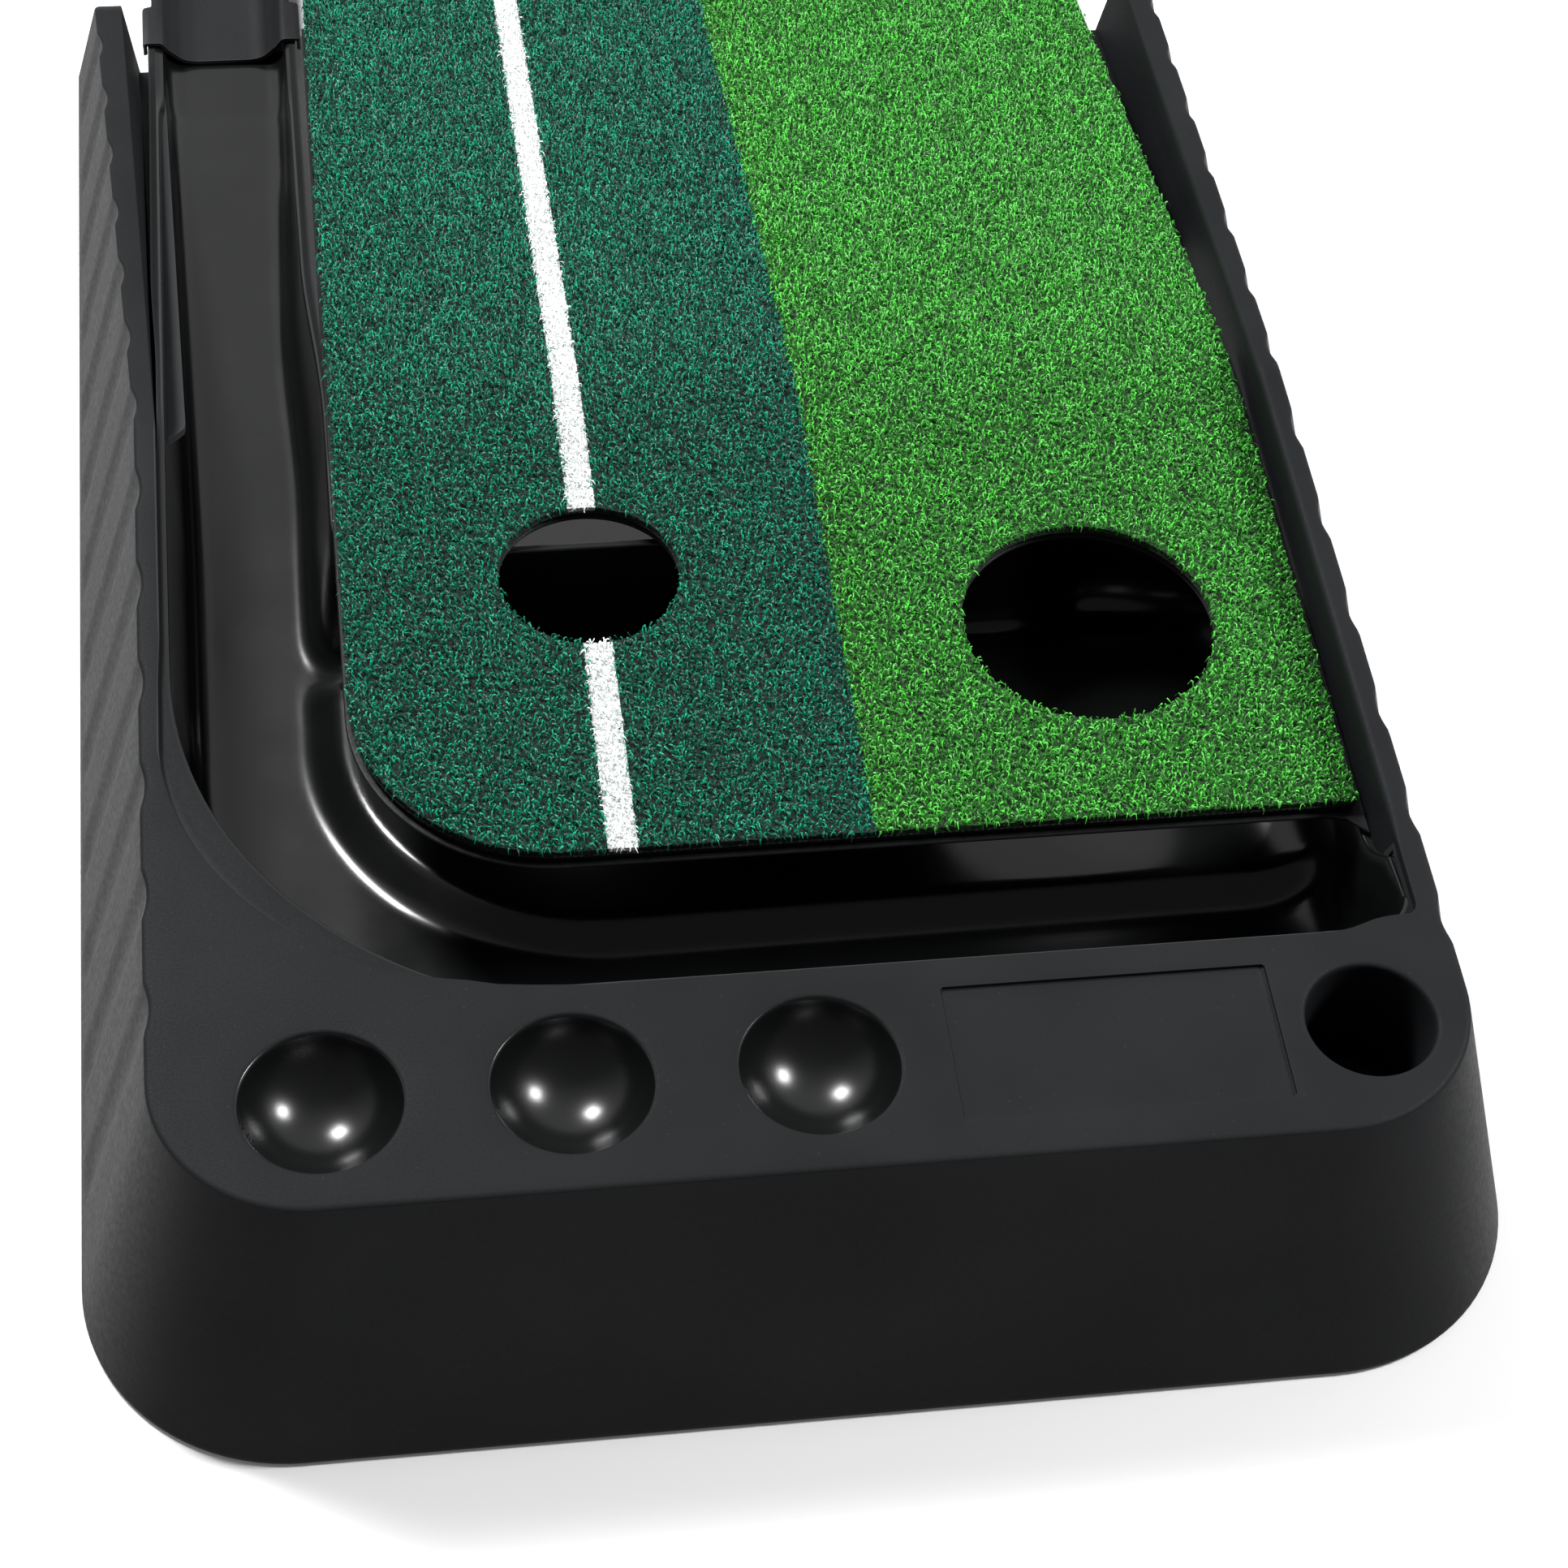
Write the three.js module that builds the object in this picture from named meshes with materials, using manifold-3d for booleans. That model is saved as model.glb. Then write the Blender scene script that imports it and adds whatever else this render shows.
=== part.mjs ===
// Indoor putting trainer: a moulded base with two holes, a two-tone turf mat that runs up on to it,
// and a ball-return track beside the mat. Millimetres, +Z up, +Y from the hole end towards the golfer.
import * as THREE from 'three';
import { mergeVertices } from 'three/addons/utils/BufferGeometryUtils.js';
import Module from 'manifold-3d';

const wasm = await Module();
wasm.setup();

// ---- driving dimensions (base frame: y = 0 at the front edge of the rim, z = 0 on the floor) ----
const RIM_Z = 93.5; // top of the front deck and of the side walls
const RIM_HALF = 186; // half width of the base at its rim
const FLOOR_HALF = 212; // half width where the flared skirt meets the floor
const FLARE_FRONT = 26; // the front face leans out this far
const RIM_CORNER = 45; // plan radius of the front corners at the rim
const FLOOR_CORNER = 62; // and at the floor
const BASE_END = 572; // y of the open end of the base
const CREST_Y = 294; // the side walls start to fall here
const WALL_FALL = 0.2104; // fall of the wall tops per mm
const SKIN = 3.2; // moulded wall thickness
const SKIRT_Z = 1.5; // the skirt stops short of the floor
const FLUTE_PITCH = 39.5;
const FLUTE_FIRST = 69.5;
const FLUTE_COUNT = 13;
const FLUTE_DEPTH = 1.3;

const BALL_CUPS = [-139, -70.3, -1.6]; // x of the three ball dimples
const BALL_CUP_Y = 34.3;
const BALL_CUP_R = 22.6;
const BALL_CUP_DEPTH = 17;
const ROUND_HOLE = { x: 156, y: 35.7, r: 18.6, depth: 48 };
const PLATE_RECESS = { x0: 35.4, x1: 129.4, y0: 12.4, y1: 57, depth: 1.2 };

const OPEN_LEFT = -179.5; // edges of the opening in the top of the base
const OPEN_RIGHT = 178.5;
const OPEN_FRONT = 67;
const OPEN_CORNER = { x: -83.6, y: 167.4, r: 97 };

const DECK_Z = 75; // top of the deck that carries the mat
const DECK_T = 2.5;
const DECK_FALL = 0.21; // the ramp falls at this slope
const RAMP_FROM = 296; // crest of the ramp, rounded over 40 mm
const RAMP_TO = 336;
const SMALL_HOLE = { x: -47.3, y: 232.2, r: 28.3 };
const LARGE_HOLE = { x: 106.5, y: 201, r: 39.7 };

const MAT_LEFT = -124.8;
const MAT_RIGHT = 175.2;
const MAT_FRONT = 123.5;
const MAT_CORNER = 62; // radius of the mat's front left corner
const MAT_END = 2614.6; // far end, for a mat cut 2500 long
const MAT_LANDS = 752; // here the mat lies flat on the floor
const BACKING_T = 2.5;
const PILE = 4;
const LINE_HALF = 4.5; // half width of the white line
const TONES_X = 27.9; // boundary of the dark and the light turf
const GAP = 0.3; // clearance between touching pieces

const TRAY_T = 1.8;
const TRAY_RIM = 90.2;
const GUTTER_X = -156.6; // middle of the gutter and of the track
const GUTTER_END_Z = 2.4; // inner floor of the gutter where it leaves the base
const GUTTER_END = 597; // the gutter reaches this far, inside the first collar

const TRACK_START = 575; // the first collar hangs over the gutter's end, just past the base
const TRACK_PITCH = 396;
const TRACK_COUNT = 5;
const TRACK_LAP = 22; // length of each nested joint
const TRACK_FLOOR = 4.4; // inner floor of the track above the ground
const TRACK_DEPTH = 9.5;
const TRACK_T = 1.6;

// ---- materials ----
const plastic = (color, roughness) => new THREE.MeshStandardMaterial({ color, roughness, metalness: 0 });
const MATTE = plastic(0x1b1c1e, 0.62);
const GLOSS = plastic(0x0d0e0f, 0.22);
const DECK_BLACK = plastic(0x131415, 0.5);
const TRACK_BLACK = plastic(0x17181a, 0.4);
const RUBBER = plastic(0x101010, 0.9);
const STEEL = new THREE.MeshStandardMaterial({ color: 0x8a8c8f, roughness: 0.35, metalness: 1 });
const BACKING = plastic(0x151615, 0.95);
const DARK_TURF = plastic(0x0f5a43, 1);
const LIGHT_TURF = plastic(0x3f9a2e, 1);
const WHITE_TURF = plastic(0xe9ece8, 1);

const part = new THREE.Group();

// ---- helpers ----
function solid(geometry) {
  const bare = geometry.clone();
  bare.deleteAttribute('normal');
  bare.deleteAttribute('uv');
  const merged = mergeVertices(bare, 1e-4);
  return new wasm.Manifold(new wasm.Mesh({
    numProp: 3,
    vertProperties: new Float32Array(merged.attributes.position.array),
    triVerts: new Uint32Array(merged.index.array),
  }));
}

function add(name, body, material) {
  const mesh = body.getMesh();
  const geometry = new THREE.BufferGeometry();
  geometry.setAttribute('position', new THREE.BufferAttribute(new Float32Array(mesh.vertProperties), 3));
  geometry.setIndex(new THREE.BufferAttribute(new Uint32Array(mesh.triVerts), 1));
  geometry.computeVertexNormals();
  const piece = new THREE.Mesh(geometry, material);
  piece.name = name;
  part.add(piece);
}

const union = (first, ...rest) => rest.reduce((whole, body) => whole.add(body), first);
const cut = (first, ...rest) => rest.reduce((whole, body) => whole.subtract(body), first);
const shapeOf = (points) => new THREE.Shape(points.map(([a, b]) => new THREE.Vector2(a, b)));

// Plan outline raised from z0 to z1.
function plate(points, z0, z1) {
  const geometry = new THREE.ExtrudeGeometry(shapeOf(points), { depth: z1 - z0, bevelEnabled: false });
  return solid(geometry.translate(0, 0, z0));
}

// Side profile, points as [y, z], swept from x0 to x1.
function sweepX(points, x0, x1) {
  const geometry = new THREE.ExtrudeGeometry(shapeOf(points), { depth: x1 - x0, bevelEnabled: false });
  const turn = new THREE.Matrix4().makeBasis(
    new THREE.Vector3(0, 1, 0), new THREE.Vector3(0, 0, 1), new THREE.Vector3(1, 0, 0));
  return solid(geometry.applyMatrix4(turn).translate(x0, 0, 0));
}

// Cross-section, points as [x, z], swept from y0 to y1.
function sweepY(points, y0, y1) {
  const geometry = new THREE.ExtrudeGeometry(shapeOf(points), { depth: y1 - y0, bevelEnabled: false });
  const turn = new THREE.Matrix4().makeBasis(
    new THREE.Vector3(1, 0, 0), new THREE.Vector3(0, 0, 1), new THREE.Vector3(0, -1, 0));
  return solid(geometry.applyMatrix4(turn).translate(0, y1, 0));
}

function block(x0, x1, y0, y1, z0, z1) {
  const geometry = new THREE.BoxGeometry(x1 - x0, y1 - y0, z1 - z0);
  return solid(geometry.translate((x0 + x1) / 2, (y0 + y1) / 2, (z0 + z1) / 2));
}

function post(x, y, r, z0, z1, sides = 24) {
  const geometry = new THREE.CylinderGeometry(r, r, z1 - z0, sides);
  return solid(geometry.rotateX(Math.PI / 2).translate(x, y, (z0 + z1) / 2));
}

// Skin over rings of equal length, each counter-clockwise seen from the last ring back to the first.
function loft(rings) {
  const count = rings[0].length;
  const positions = rings.flat().flatMap((p) => [p.x, p.y, p.z]);
  const index = [];
  for (let k = 0; k + 1 < rings.length; k += 1) {
    for (let i = 0; i < count; i += 1) {
      const a = k * count + i;
      const b = k * count + ((i + 1) % count);
      index.push(a, b, b + count, a, b + count, a + count);
    }
  }
  const flat = (ring) => {
    const u = new THREE.Vector3();
    ring.forEach((p, i) => {
      const q = ring[(i + 1) % count];
      u.x += (p.y - q.y) * (p.z + q.z);
      u.y += (p.z - q.z) * (p.x + q.x);
      u.z += (p.x - q.x) * (p.y + q.y);
    });
    const side = Math.abs(u.z) > Math.abs(u.y);
    return ring.map((p) => (side ? new THREE.Vector2(p.x, p.y) : new THREE.Vector2(p.x, p.z)));
  };
  const caps = THREE.ShapeUtils.triangulateShape(flat(rings[0]), []);
  const last = (rings.length - 1) * count;
  const turned = THREE.ShapeUtils.area(flat(rings[0])) < 0;
  caps.forEach(([a, b, c]) => {
    if (turned) index.push(a, b, c, last + c, last + b, last + a);
    else index.push(c, b, a, last + a, last + b, last + c);
  });
  const geometry = new THREE.BufferGeometry();
  geometry.setAttribute('position', new THREE.BufferAttribute(new Float32Array(positions), 3));
  geometry.setIndex(index);
  const body = solid(geometry);
  if (body.volume() > 0) return body;
  for (let i = 0; i < index.length; i += 3) [index[i], index[i + 1]] = [index[i + 1], index[i]];
  geometry.setIndex(index);
  return solid(geometry);
}

function arc(cx, cy, r, fromDeg, toDeg, steps) {
  const points = [];
  for (let i = 0; i <= steps; i += 1) {
    const a = THREE.MathUtils.degToRad(fromDeg + ((toDeg - fromDeg) * i) / steps);
    points.push([cx + r * Math.cos(a), cy + r * Math.sin(a)]);
  }
  return points;
}

const wallTop = (y) => RIM_Z - WALL_FALL * Math.max(0, y - CREST_Y);

function deckTop(y) {
  if (y <= RAMP_FROM) return DECK_Z;
  const run = RAMP_TO - RAMP_FROM;
  if (y <= RAMP_TO) return DECK_Z - (DECK_FALL * (y - RAMP_FROM) ** 2) / (2 * run);
  return DECK_Z - (DECK_FALL * run) / 2 - DECK_FALL * (y - RAMP_TO);
}

// ---- base housing: flared skirt, front deck with its dimples, side walls ----
function housingRing(t, z, inset) {
  const half = THREE.MathUtils.lerp(FLOOR_HALF, RIM_HALF, t) - inset;
  const front = THREE.MathUtils.lerp(-FLARE_FRONT, 0, t) + inset;
  const r = THREE.MathUtils.lerp(FLOOR_CORNER, RIM_CORNER, t) - inset;
  const end = inset > 0 ? BASE_END - inset : BASE_END;
  const side = [];
  for (let i = 0; i < FLUTE_COUNT; i += 1) {
    const y = FLUTE_FIRST + i * FLUTE_PITCH;
    const dent = inset > 0 ? 0 : FLUTE_DEPTH;
    side.push([half, y - 6], [half - dent, y], [half, y + 6]);
  }
  const left = side.map(([x, y]) => [-x, y]).reverse();
  const outline = [[-half, end], ...left,
    ...arc(-half + r, front + r, r, 180, 270, 8),
    ...arc(half - r, front + r, r, 270, 360, 8), ...side, [half, end]];
  return outline.map(([x, y]) => new THREE.Vector3(x, y, z));
}

const skirtAt = (z) => (z - SKIRT_Z) / (RIM_Z - SKIRT_Z);
const shell = loft([housingRing(0, SKIRT_Z, 0), housingRing(1, RIM_Z, 0)]);
const fallAway = (drop) => sweepX([[CREST_Y, RIM_Z - drop], [BASE_END + 8, wallTop(BASE_END + 8) - drop],
  [BASE_END + 8, RIM_Z + 9], [CREST_Y, RIM_Z + 9]], -230, 230);
const hollow = loft([housingRing(skirtAt(-2), -2, SKIN), housingRing(skirtAt(RIM_Z - 3), RIM_Z - 3, SKIN)]);

function openingOutline() {
  return [[OPEN_LEFT, BASE_END + 8], [OPEN_LEFT, 205],
    ...arc(OPEN_CORNER.x, OPEN_CORNER.y, OPEN_CORNER.r, 180, 266, 14),
    [-65, OPEN_FRONT], [153, OPEN_FRONT], [158, 67.8], [163, 69.5], [168, 70.8],
    ...arc(OPEN_RIGHT - 4, 75.2, 4, 270, 360, 4), [OPEN_RIGHT, BASE_END + 8]];
}

// Inner side skin that leans out as the wall falls; sign is +1 on the right, -1 on the left.
function innerSkin(sign, from, near, far, thick) {
  const section = ([xBottom, zBottom, xTop, zTop], y) => [
    [xBottom, zBottom], [xBottom + thick, zBottom], [xTop + thick, zTop], [xTop, zTop],
  ].map(([x, z]) => new THREE.Vector3(sign * x, y, z));
  return loft([section(near, from), section(near, CREST_Y), section(far, BASE_END)]);
}

const rightSkin = innerSkin(1, 105, [178.5, 66, 178.5, 92], [187, 6, 192.5, 33.2], 2.6);
const leftSkin = innerSkin(-1, CREST_Y - 2, [179.5, 80, 179.5, 92], [188.5, 6, 192.8, 33.2], 2.6);
function leanCut(sign, near, far) {
  const section = ([x0, z0, x1, z1], y) => [[x0 - 30, z0], [x0, z0], [x1, z1], [x1 - 30, z1]]
    .map(([x, z]) => new THREE.Vector3(sign * x, y, z));
  return loft([section(near, CREST_Y), section(far, BASE_END + 6)]);
}

let housing = cut(shell, fallAway(0), cut(hollow, fallAway(3)));
housing = cut(housing, plate(openingOutline(), RIM_Z - 12, RIM_Z + 5));
housing = cut(housing, block(OPEN_LEFT, OPEN_RIGHT, CREST_Y, BASE_END + 8, 8, RIM_Z + 5));
housing = union(housing, rightSkin, leftSkin);
housing = cut(housing, fallAway(0), leanCut(1, [178.5, 66, 178.5, 100], [187.2, 8, 197.4, 44]),
  leanCut(-1, [179.5, 66, 179.5, 100], [188.7, 8, 197.6, 44]));
// way out for the gutter at the open end
housing = cut(housing, block(-188.4, -125.5, BASE_END - 12, BASE_END + 5, -1, 40));
// floor ledge that joins the end of the right wall to the ramp
housing = housing.add(cut(block(150, 190, 430, BASE_END, 6, 8), leanCut(1, [178.5, 66, 178.5, 100],
  [187.2, 8, 197.4, 44])));

function lathe(profile, x, y, segments) {
  const points = profile.map(([r, z]) => new THREE.Vector2(r, z));
  const geometry = new THREE.LatheGeometry(points, segments);
  return solid(geometry.rotateX(Math.PI / 2).translate(x, y, 0));
}

// Bowl of the given mouth radius and depth below the rim, closed above the rim for cutting.
function bowl(x, grow) {
  const depth = BALL_CUP_DEPTH + grow;
  const mouth = BALL_CUP_R + grow;
  const r = (mouth * mouth + depth * depth) / (2 * depth);
  const profile = [[0, RIM_Z - depth]];
  for (let i = 1; i <= 7; i += 1) {
    const a = (Math.asin(mouth / r) * i) / 7;
    profile.push([r * Math.sin(a), RIM_Z - depth + r - r * Math.cos(a)]);
  }
  const lid = grow > 0 ? RIM_Z - 0.5 : RIM_Z + 2;
  profile.push([mouth, lid], [0, lid]);
  return lathe(profile, x, BALL_CUP_Y, 28);
}

for (const x of BALL_CUPS) housing = housing.add(bowl(x, 2.4));
for (const x of BALL_CUPS) housing = housing.subtract(bowl(x, 0));
const hole = ROUND_HOLE;
housing = housing.add(post(hole.x, hole.y, hole.r + 2.4, RIM_Z - hole.depth - 2.5, RIM_Z - 0.5, 32));
housing = housing.subtract(post(hole.x, hole.y, hole.r, RIM_Z - hole.depth, RIM_Z + 2, 32));
housing = housing.subtract(block(PLATE_RECESS.x0, PLATE_RECESS.x1, PLATE_RECESS.y0, PLATE_RECESS.y1,
  RIM_Z - PLATE_RECESS.depth, RIM_Z + 2));

// posts that carry the feet
const FEET = [[-105, 22, RIM_Z - 2], [112, 22, RIM_Z - 2], [-197, 505, 26], [197, 505, 26]];
for (const [x, y, top] of FEET) housing = housing.add(post(x, y, 8, 2, top, 20));
housing = housing.intersect(union(shell, block(-230, 230, -40, 600, 0, SKIRT_Z + 1)));

// screw posts for the right edge of the mat deck
const SCREW_Y = [292, 420, 540];
const SCREW_RIGHT = 171;
for (const y of SCREW_Y) {
  const top = deckTop(y) - DECK_T - 1.2;
  const reach = y < CREST_Y ? 179.5 : 191;
  housing = housing.add(union(post(SCREW_RIGHT, y, 4, top - 13, top, 16),
    block(SCREW_RIGHT, reach, y - 1.2, y + 1.2, top - 13, top - 1)).intersect(
    union(shell, block(0, 186, 0, 600, 0, 100))));
  housing = housing.subtract(post(SCREW_RIGHT, y, 1.9, top - 10, top + 1, 12));
}
add('base_housing', housing, MATTE);

// ---- ball tray: front trough, basin under the holes and return gutter in one glossy moulding ----
const TRAY_FALL = 0.0613;
const trayFloor = (x, y) => 26 + 0.012 * (x - GUTTER_X) - TRAY_FALL * (y - 160);
const coved = (rho, h) => (h >= rho ? 0 : rho - Math.sqrt(rho * rho - (rho - h) ** 2));

function basinOutline() {
  const rows = [];
  const put = (x, y, nx, ny, rho) => rows.push({ x, y, nx, ny, rho });
  const sweep = (cx, cy, r, from, to, steps, rhoFrom, rhoTo) => {
    for (let i = 0; i <= steps; i += 1) {
      const a = THREE.MathUtils.degToRad(from + ((to - from) * i) / steps);
      const rho = rhoFrom + (rhoTo - rhoFrom) * Math.min(1, (2 * i) / steps);
      put(cx + r * Math.cos(a), cy + r * Math.sin(a), Math.cos(a), Math.sin(a), rho);
    }
  };
  put(-176.8, 262, -1, 1, 8);
  sweep(-45.8, 192, 131, 180, 249, 12, 8, 38);
  put(60, 69.5, 0, -1, 38);
  sweep(149, 96.5, 27, 270, 360, 8, 26, 25);
  sweep(116, 202, 60, 0, 90, 8, 25, 14);
  return rows;
}

// grow offsets the surface outwards for the outside of the moulding.
function basin(grow, top) {
  const rings = [0, 2, 5, 10, 20, 38].map((h) => basinOutline().map((p) => {
    const off = grow - coved(p.rho, h);
    return new THREE.Vector3(p.x + p.nx * off, p.y + p.ny * off, trayFloor(p.x, p.y) + h - grow);
  }));
  rings.push(basinOutline().map((p) => new THREE.Vector3(p.x + p.nx * grow, p.y + p.ny * grow, top)));
  return loft(rings);
}

function gutterSection(rows, y) {
  return rows.map(([x, z]) => new THREE.Vector3(x, y, z));
}
const gutterFloor = (y) => Math.max(GUTTER_END_Z, trayFloor(GUTTER_X, y));
const gutterInside = (y, f) => (y < 310
  ? [[-176.8, 100], [-174.6, f + 22], [-173.2, f + 6], [-169.5, f], [-143.5, f], [-139.5, f + 6], [-135, f + 30],
    [-131, 100]]
  : [[-181, 100], [-181, f + 9.5], [-177, f + 4.5], [-169.7, f], [-143.5, f], [-136.2, f + 4.5],
    [-132.4, f + 9.5], [-132.4, 100]]);
const gutterOutside = (y, f) => (y < 310
  ? [[-178.8, TRAY_RIM], [-178.8, 84], [-176.6, f + 22], [-175.2, f + 5], [-170.4, f - TRAY_T],
    [-142.6, f - TRAY_T], [-137.6, f + 5], [-133, f + 30], [-129.2, 72], [-129.2, DECK_Z]]
  : [[-185, f + 9.5], [-185, f + 7.7], [-182.6, f + 7.7], [-178.4, f + 3.2], [-170.6, f - TRAY_T],
    [-142.6, f - TRAY_T], [-134.8, f + 3.2], [-130.8, f + 7.7], [-128.6, f + 7.7], [-128.6, f + 9.5]]);
const GUTTER_FLAT = 545;
const gutterCut = loft([228, 300, GUTTER_FLAT, GUTTER_END + 6].map(
  (y) => gutterSection(gutterInside(y, gutterFloor(Math.min(y, GUTTER_FLAT))), y)));
const gutterBody = loft([250, 300, GUTTER_FLAT, GUTTER_END].map(
  (y) => gutterSection(gutterOutside(y, gutterFloor(Math.min(y, GUTTER_FLAT))), y)));
const flange = plate([[182, 103], [182, 63.5],
  ...arc(OPEN_CORNER.x, OPEN_CORNER.y, 99, 270, 180, 12), [-182, 205], [-182, 288], [-172, 288], [-172, 172], [-138, 103]],
TRAY_RIM - 2, TRAY_RIM);
let tray = union(basin(TRAY_T, TRAY_RIM), gutterBody, flange);
tray = cut(tray, basin(0, 100), gutterCut, block(-128.4, 190, 103, 300, DECK_Z - DECK_T - GAP, 100));

// screw posts for the left edge of the mat deck
const SCREW_LEFT = -121;
for (const y of SCREW_Y) {
  const top = deckTop(y) - DECK_T - 1.2;
  const web = y < 400 ? -134 : -132;
  const boss = union(post(SCREW_LEFT, y, 4, top - 13, top, 16), block(web, SCREW_LEFT, y - 1.2, y + 1.2,
    top - 13, top - 3));
  tray = tray.add(boss.subtract(gutterCut)).subtract(post(SCREW_LEFT, y, 1.9, top - 10, top + 1, 12));
}
add('ball_tray', tray, GLOSS);

// ---- deck under the mat: level around the holes, then a ramp down ----
const deckLine = [100, 200, RAMP_FROM, 309, 322, RAMP_TO, 450, BASE_END];
const deckProfile = [...deckLine.map((y) => [y, deckTop(y)]),
  ...[...deckLine].reverse().map((y) => [y, deckTop(y) - DECK_T])];
deckProfile.splice(deckLine.length, 0, [BASE_END, 8.5], [BASE_END - 2.5, 8.5],
  [BASE_END - 2.5, deckTop(BASE_END - 2.5) - DECK_T]);
deckProfile.splice(deckLine.length + 3, 1);
const deckPlan = [[-126, BASE_END + 1], ...arc(-64, 184, 62, 180, 270, 10), [170, 122], [178.1, 115],
  [178.1, 318], [175, 330], [175, BASE_END + 1]];
let deck = sweepX(deckProfile.reverse(), -127, 179).intersect(plate(deckPlan, -5, 120));
deck = cut(deck, post(SMALL_HOLE.x, SMALL_HOLE.y, SMALL_HOLE.r + 0.6, 60, 90, 32),
  post(LARGE_HOLE.x, LARGE_HOLE.y, LARGE_HOLE.r + 0.6, 60, 90, 40));

// a countersunk screw, its axis square to the deck
function screw(x, y, grow) {
  const profile = [[0, 0.2 - DECK_T + 2.4], [3.1 + grow, 0.2 - DECK_T + 2.4], [3.1 + grow, -0.5], [1.5 + grow, -2],
    [1.5 + grow, -12 - grow], [0, -12 - grow]];
  const points = profile.map(([r, z]) => new THREE.Vector2(r, z)).reverse();
  const geometry = new THREE.LatheGeometry(points, 14).rotateX(Math.PI / 2);
  return solid(geometry.translate(x, y, deckTop(y) - 0.4));
}
let number = 1;
for (const x of [SCREW_LEFT, SCREW_RIGHT]) {
  for (const y of SCREW_Y) {
    const way = union(post(x, y, 3.9, deckTop(y) - 1.9, deckTop(y) + 3, 16), post(x, y, 2.4, 0, 90, 14));
    deck = deck.subtract(way);
    add(`deck_screw_${number}`, screw(x, y, 0), STEEL);
    number += 1;
  }
}
add('mat_deck', deck, DECK_BLACK);

// ---- the mat: woven backing with tufted strips on it ----
function matUnder(y) {
  if (y <= BASE_END) return deckTop(y) + GAP;
  if (y >= MAT_LANDS) return GAP;
  const t = (y - BASE_END) / (MAT_LANDS - BASE_END);
  const start = deckTop(BASE_END);
  const tangent = -DECK_FALL * (MAT_LANDS - BASE_END);
  return GAP + start * (2 * t ** 3 - 3 * t ** 2 + 1) + tangent * (t ** 3 - 2 * t ** 2 + t);
}
const matLine = [MAT_FRONT, 200, RAMP_FROM, 306, 316, 326, RAMP_TO, 450, BASE_END];
for (let i = 1; i <= 8; i += 1) matLine.push(BASE_END + ((MAT_LANDS - BASE_END) * i) / 8);
matLine.push(1300, 2000, MAT_END);

// Layer of the mat between two heights above its underside.
function layer(low, high, x0, x1, y0 = MAT_FRONT, y1 = MAT_END) {
  const line = [y0, ...matLine.filter((y) => y > y0 + 1 && y < y1 - 1), y1];
  const edge = (h) => line.map((y, i) => {
    const a = line[Math.max(0, i - 1)];
    const b = line[Math.min(line.length - 1, i + 1)];
    const slope = (matUnder(b) - matUnder(a)) / (b - a);
    const n = Math.hypot(1, slope);
    return [y - (i > 0 && i < line.length - 1 ? (h * slope) / n : 0), matUnder(y) + h / n];
  });
  return sweepX([...edge(low), ...edge(high).reverse()], x0, x1);
}
const matCorner = plate([[MAT_LEFT - 5, MAT_FRONT - 5], [MAT_LEFT + MAT_CORNER, MAT_FRONT - 5],
  ...arc(MAT_LEFT + MAT_CORNER, MAT_FRONT + MAT_CORNER, MAT_CORNER, 270, 180, 10),
  [MAT_LEFT - 5, MAT_FRONT + MAT_CORNER]], 60, 100);
const smallWay = post(SMALL_HOLE.x, SMALL_HOLE.y, SMALL_HOLE.r, 60, 100, 32);
const largeWay = post(LARGE_HOLE.x, LARGE_HOLE.y, LARGE_HOLE.r, 60, 100, 40);
const trimmed = (body) => cut(body, matCorner, smallWay, largeWay);
const TOP = BACKING_T + PILE;
const TUFT = BACKING_T + GAP;
const line = SMALL_HOLE.x;
// One real piece, in three nodes so that each one's collision stays open at the holes and close to its bends.
add('mat_backing_deck', trimmed(layer(0, BACKING_T, MAT_LEFT, MAT_RIGHT, MAT_FRONT, RAMP_FROM)), BACKING);
add('mat_backing_ramp', layer(0, BACKING_T, MAT_LEFT, MAT_RIGHT, RAMP_FROM + GAP, MAT_LANDS), BACKING);
add('mat_backing_run', layer(0, BACKING_T, MAT_LEFT, MAT_RIGHT, MAT_LANDS + GAP, MAT_END), BACKING);
add('turf_dark_left', trimmed(layer(TUFT, TOP, MAT_LEFT, line - LINE_HALF - GAP)), DARK_TURF);
add('turf_dark_middle', trimmed(layer(TUFT, TOP, line + LINE_HALF + GAP, TONES_X - GAP)), DARK_TURF);
add('turf_light', trimmed(layer(TUFT, TOP, TONES_X, MAT_RIGHT)), LIGHT_TURF);
add('white_line_front', trimmed(layer(TUFT, TOP, line - LINE_HALF, line + LINE_HALF, MAT_FRONT, 215)), WHITE_TURF);
add('white_line_long', trimmed(layer(TUFT, TOP, line - LINE_HALF, line + LINE_HALF, 250)), WHITE_TURF);

// ---- ball-return track: nested channel sections and an end cup ----
const channelInside = [[22.6, TRACK_DEPTH], [18.4, 4.2], [11.6, 0], [-11.6, 0], [-18.4, 4.2], [-22.6, TRACK_DEPTH]];
function channel(y0, y1, drop, wing, spread = 0) {
  const z = TRACK_FLOOR - drop;
  const t = TRACK_T;
  const outside = [[-wing, TRACK_DEPTH], [-wing, TRACK_DEPTH - t], [-23.4, TRACK_DEPTH - t], [-19.6, 3.2], [-12.2, -t],
    [12.2, -t], [19.6, 3.2], [23.4, TRACK_DEPTH - t], [wing, TRACK_DEPTH - t], [wing, TRACK_DEPTH]];
  const wide = ([x, h]) => [GUTTER_X + x + Math.sign(x) * spread, z + h];
  return sweepY([...outside, ...channelInside].map(wide), y0, y1);
}
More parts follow.
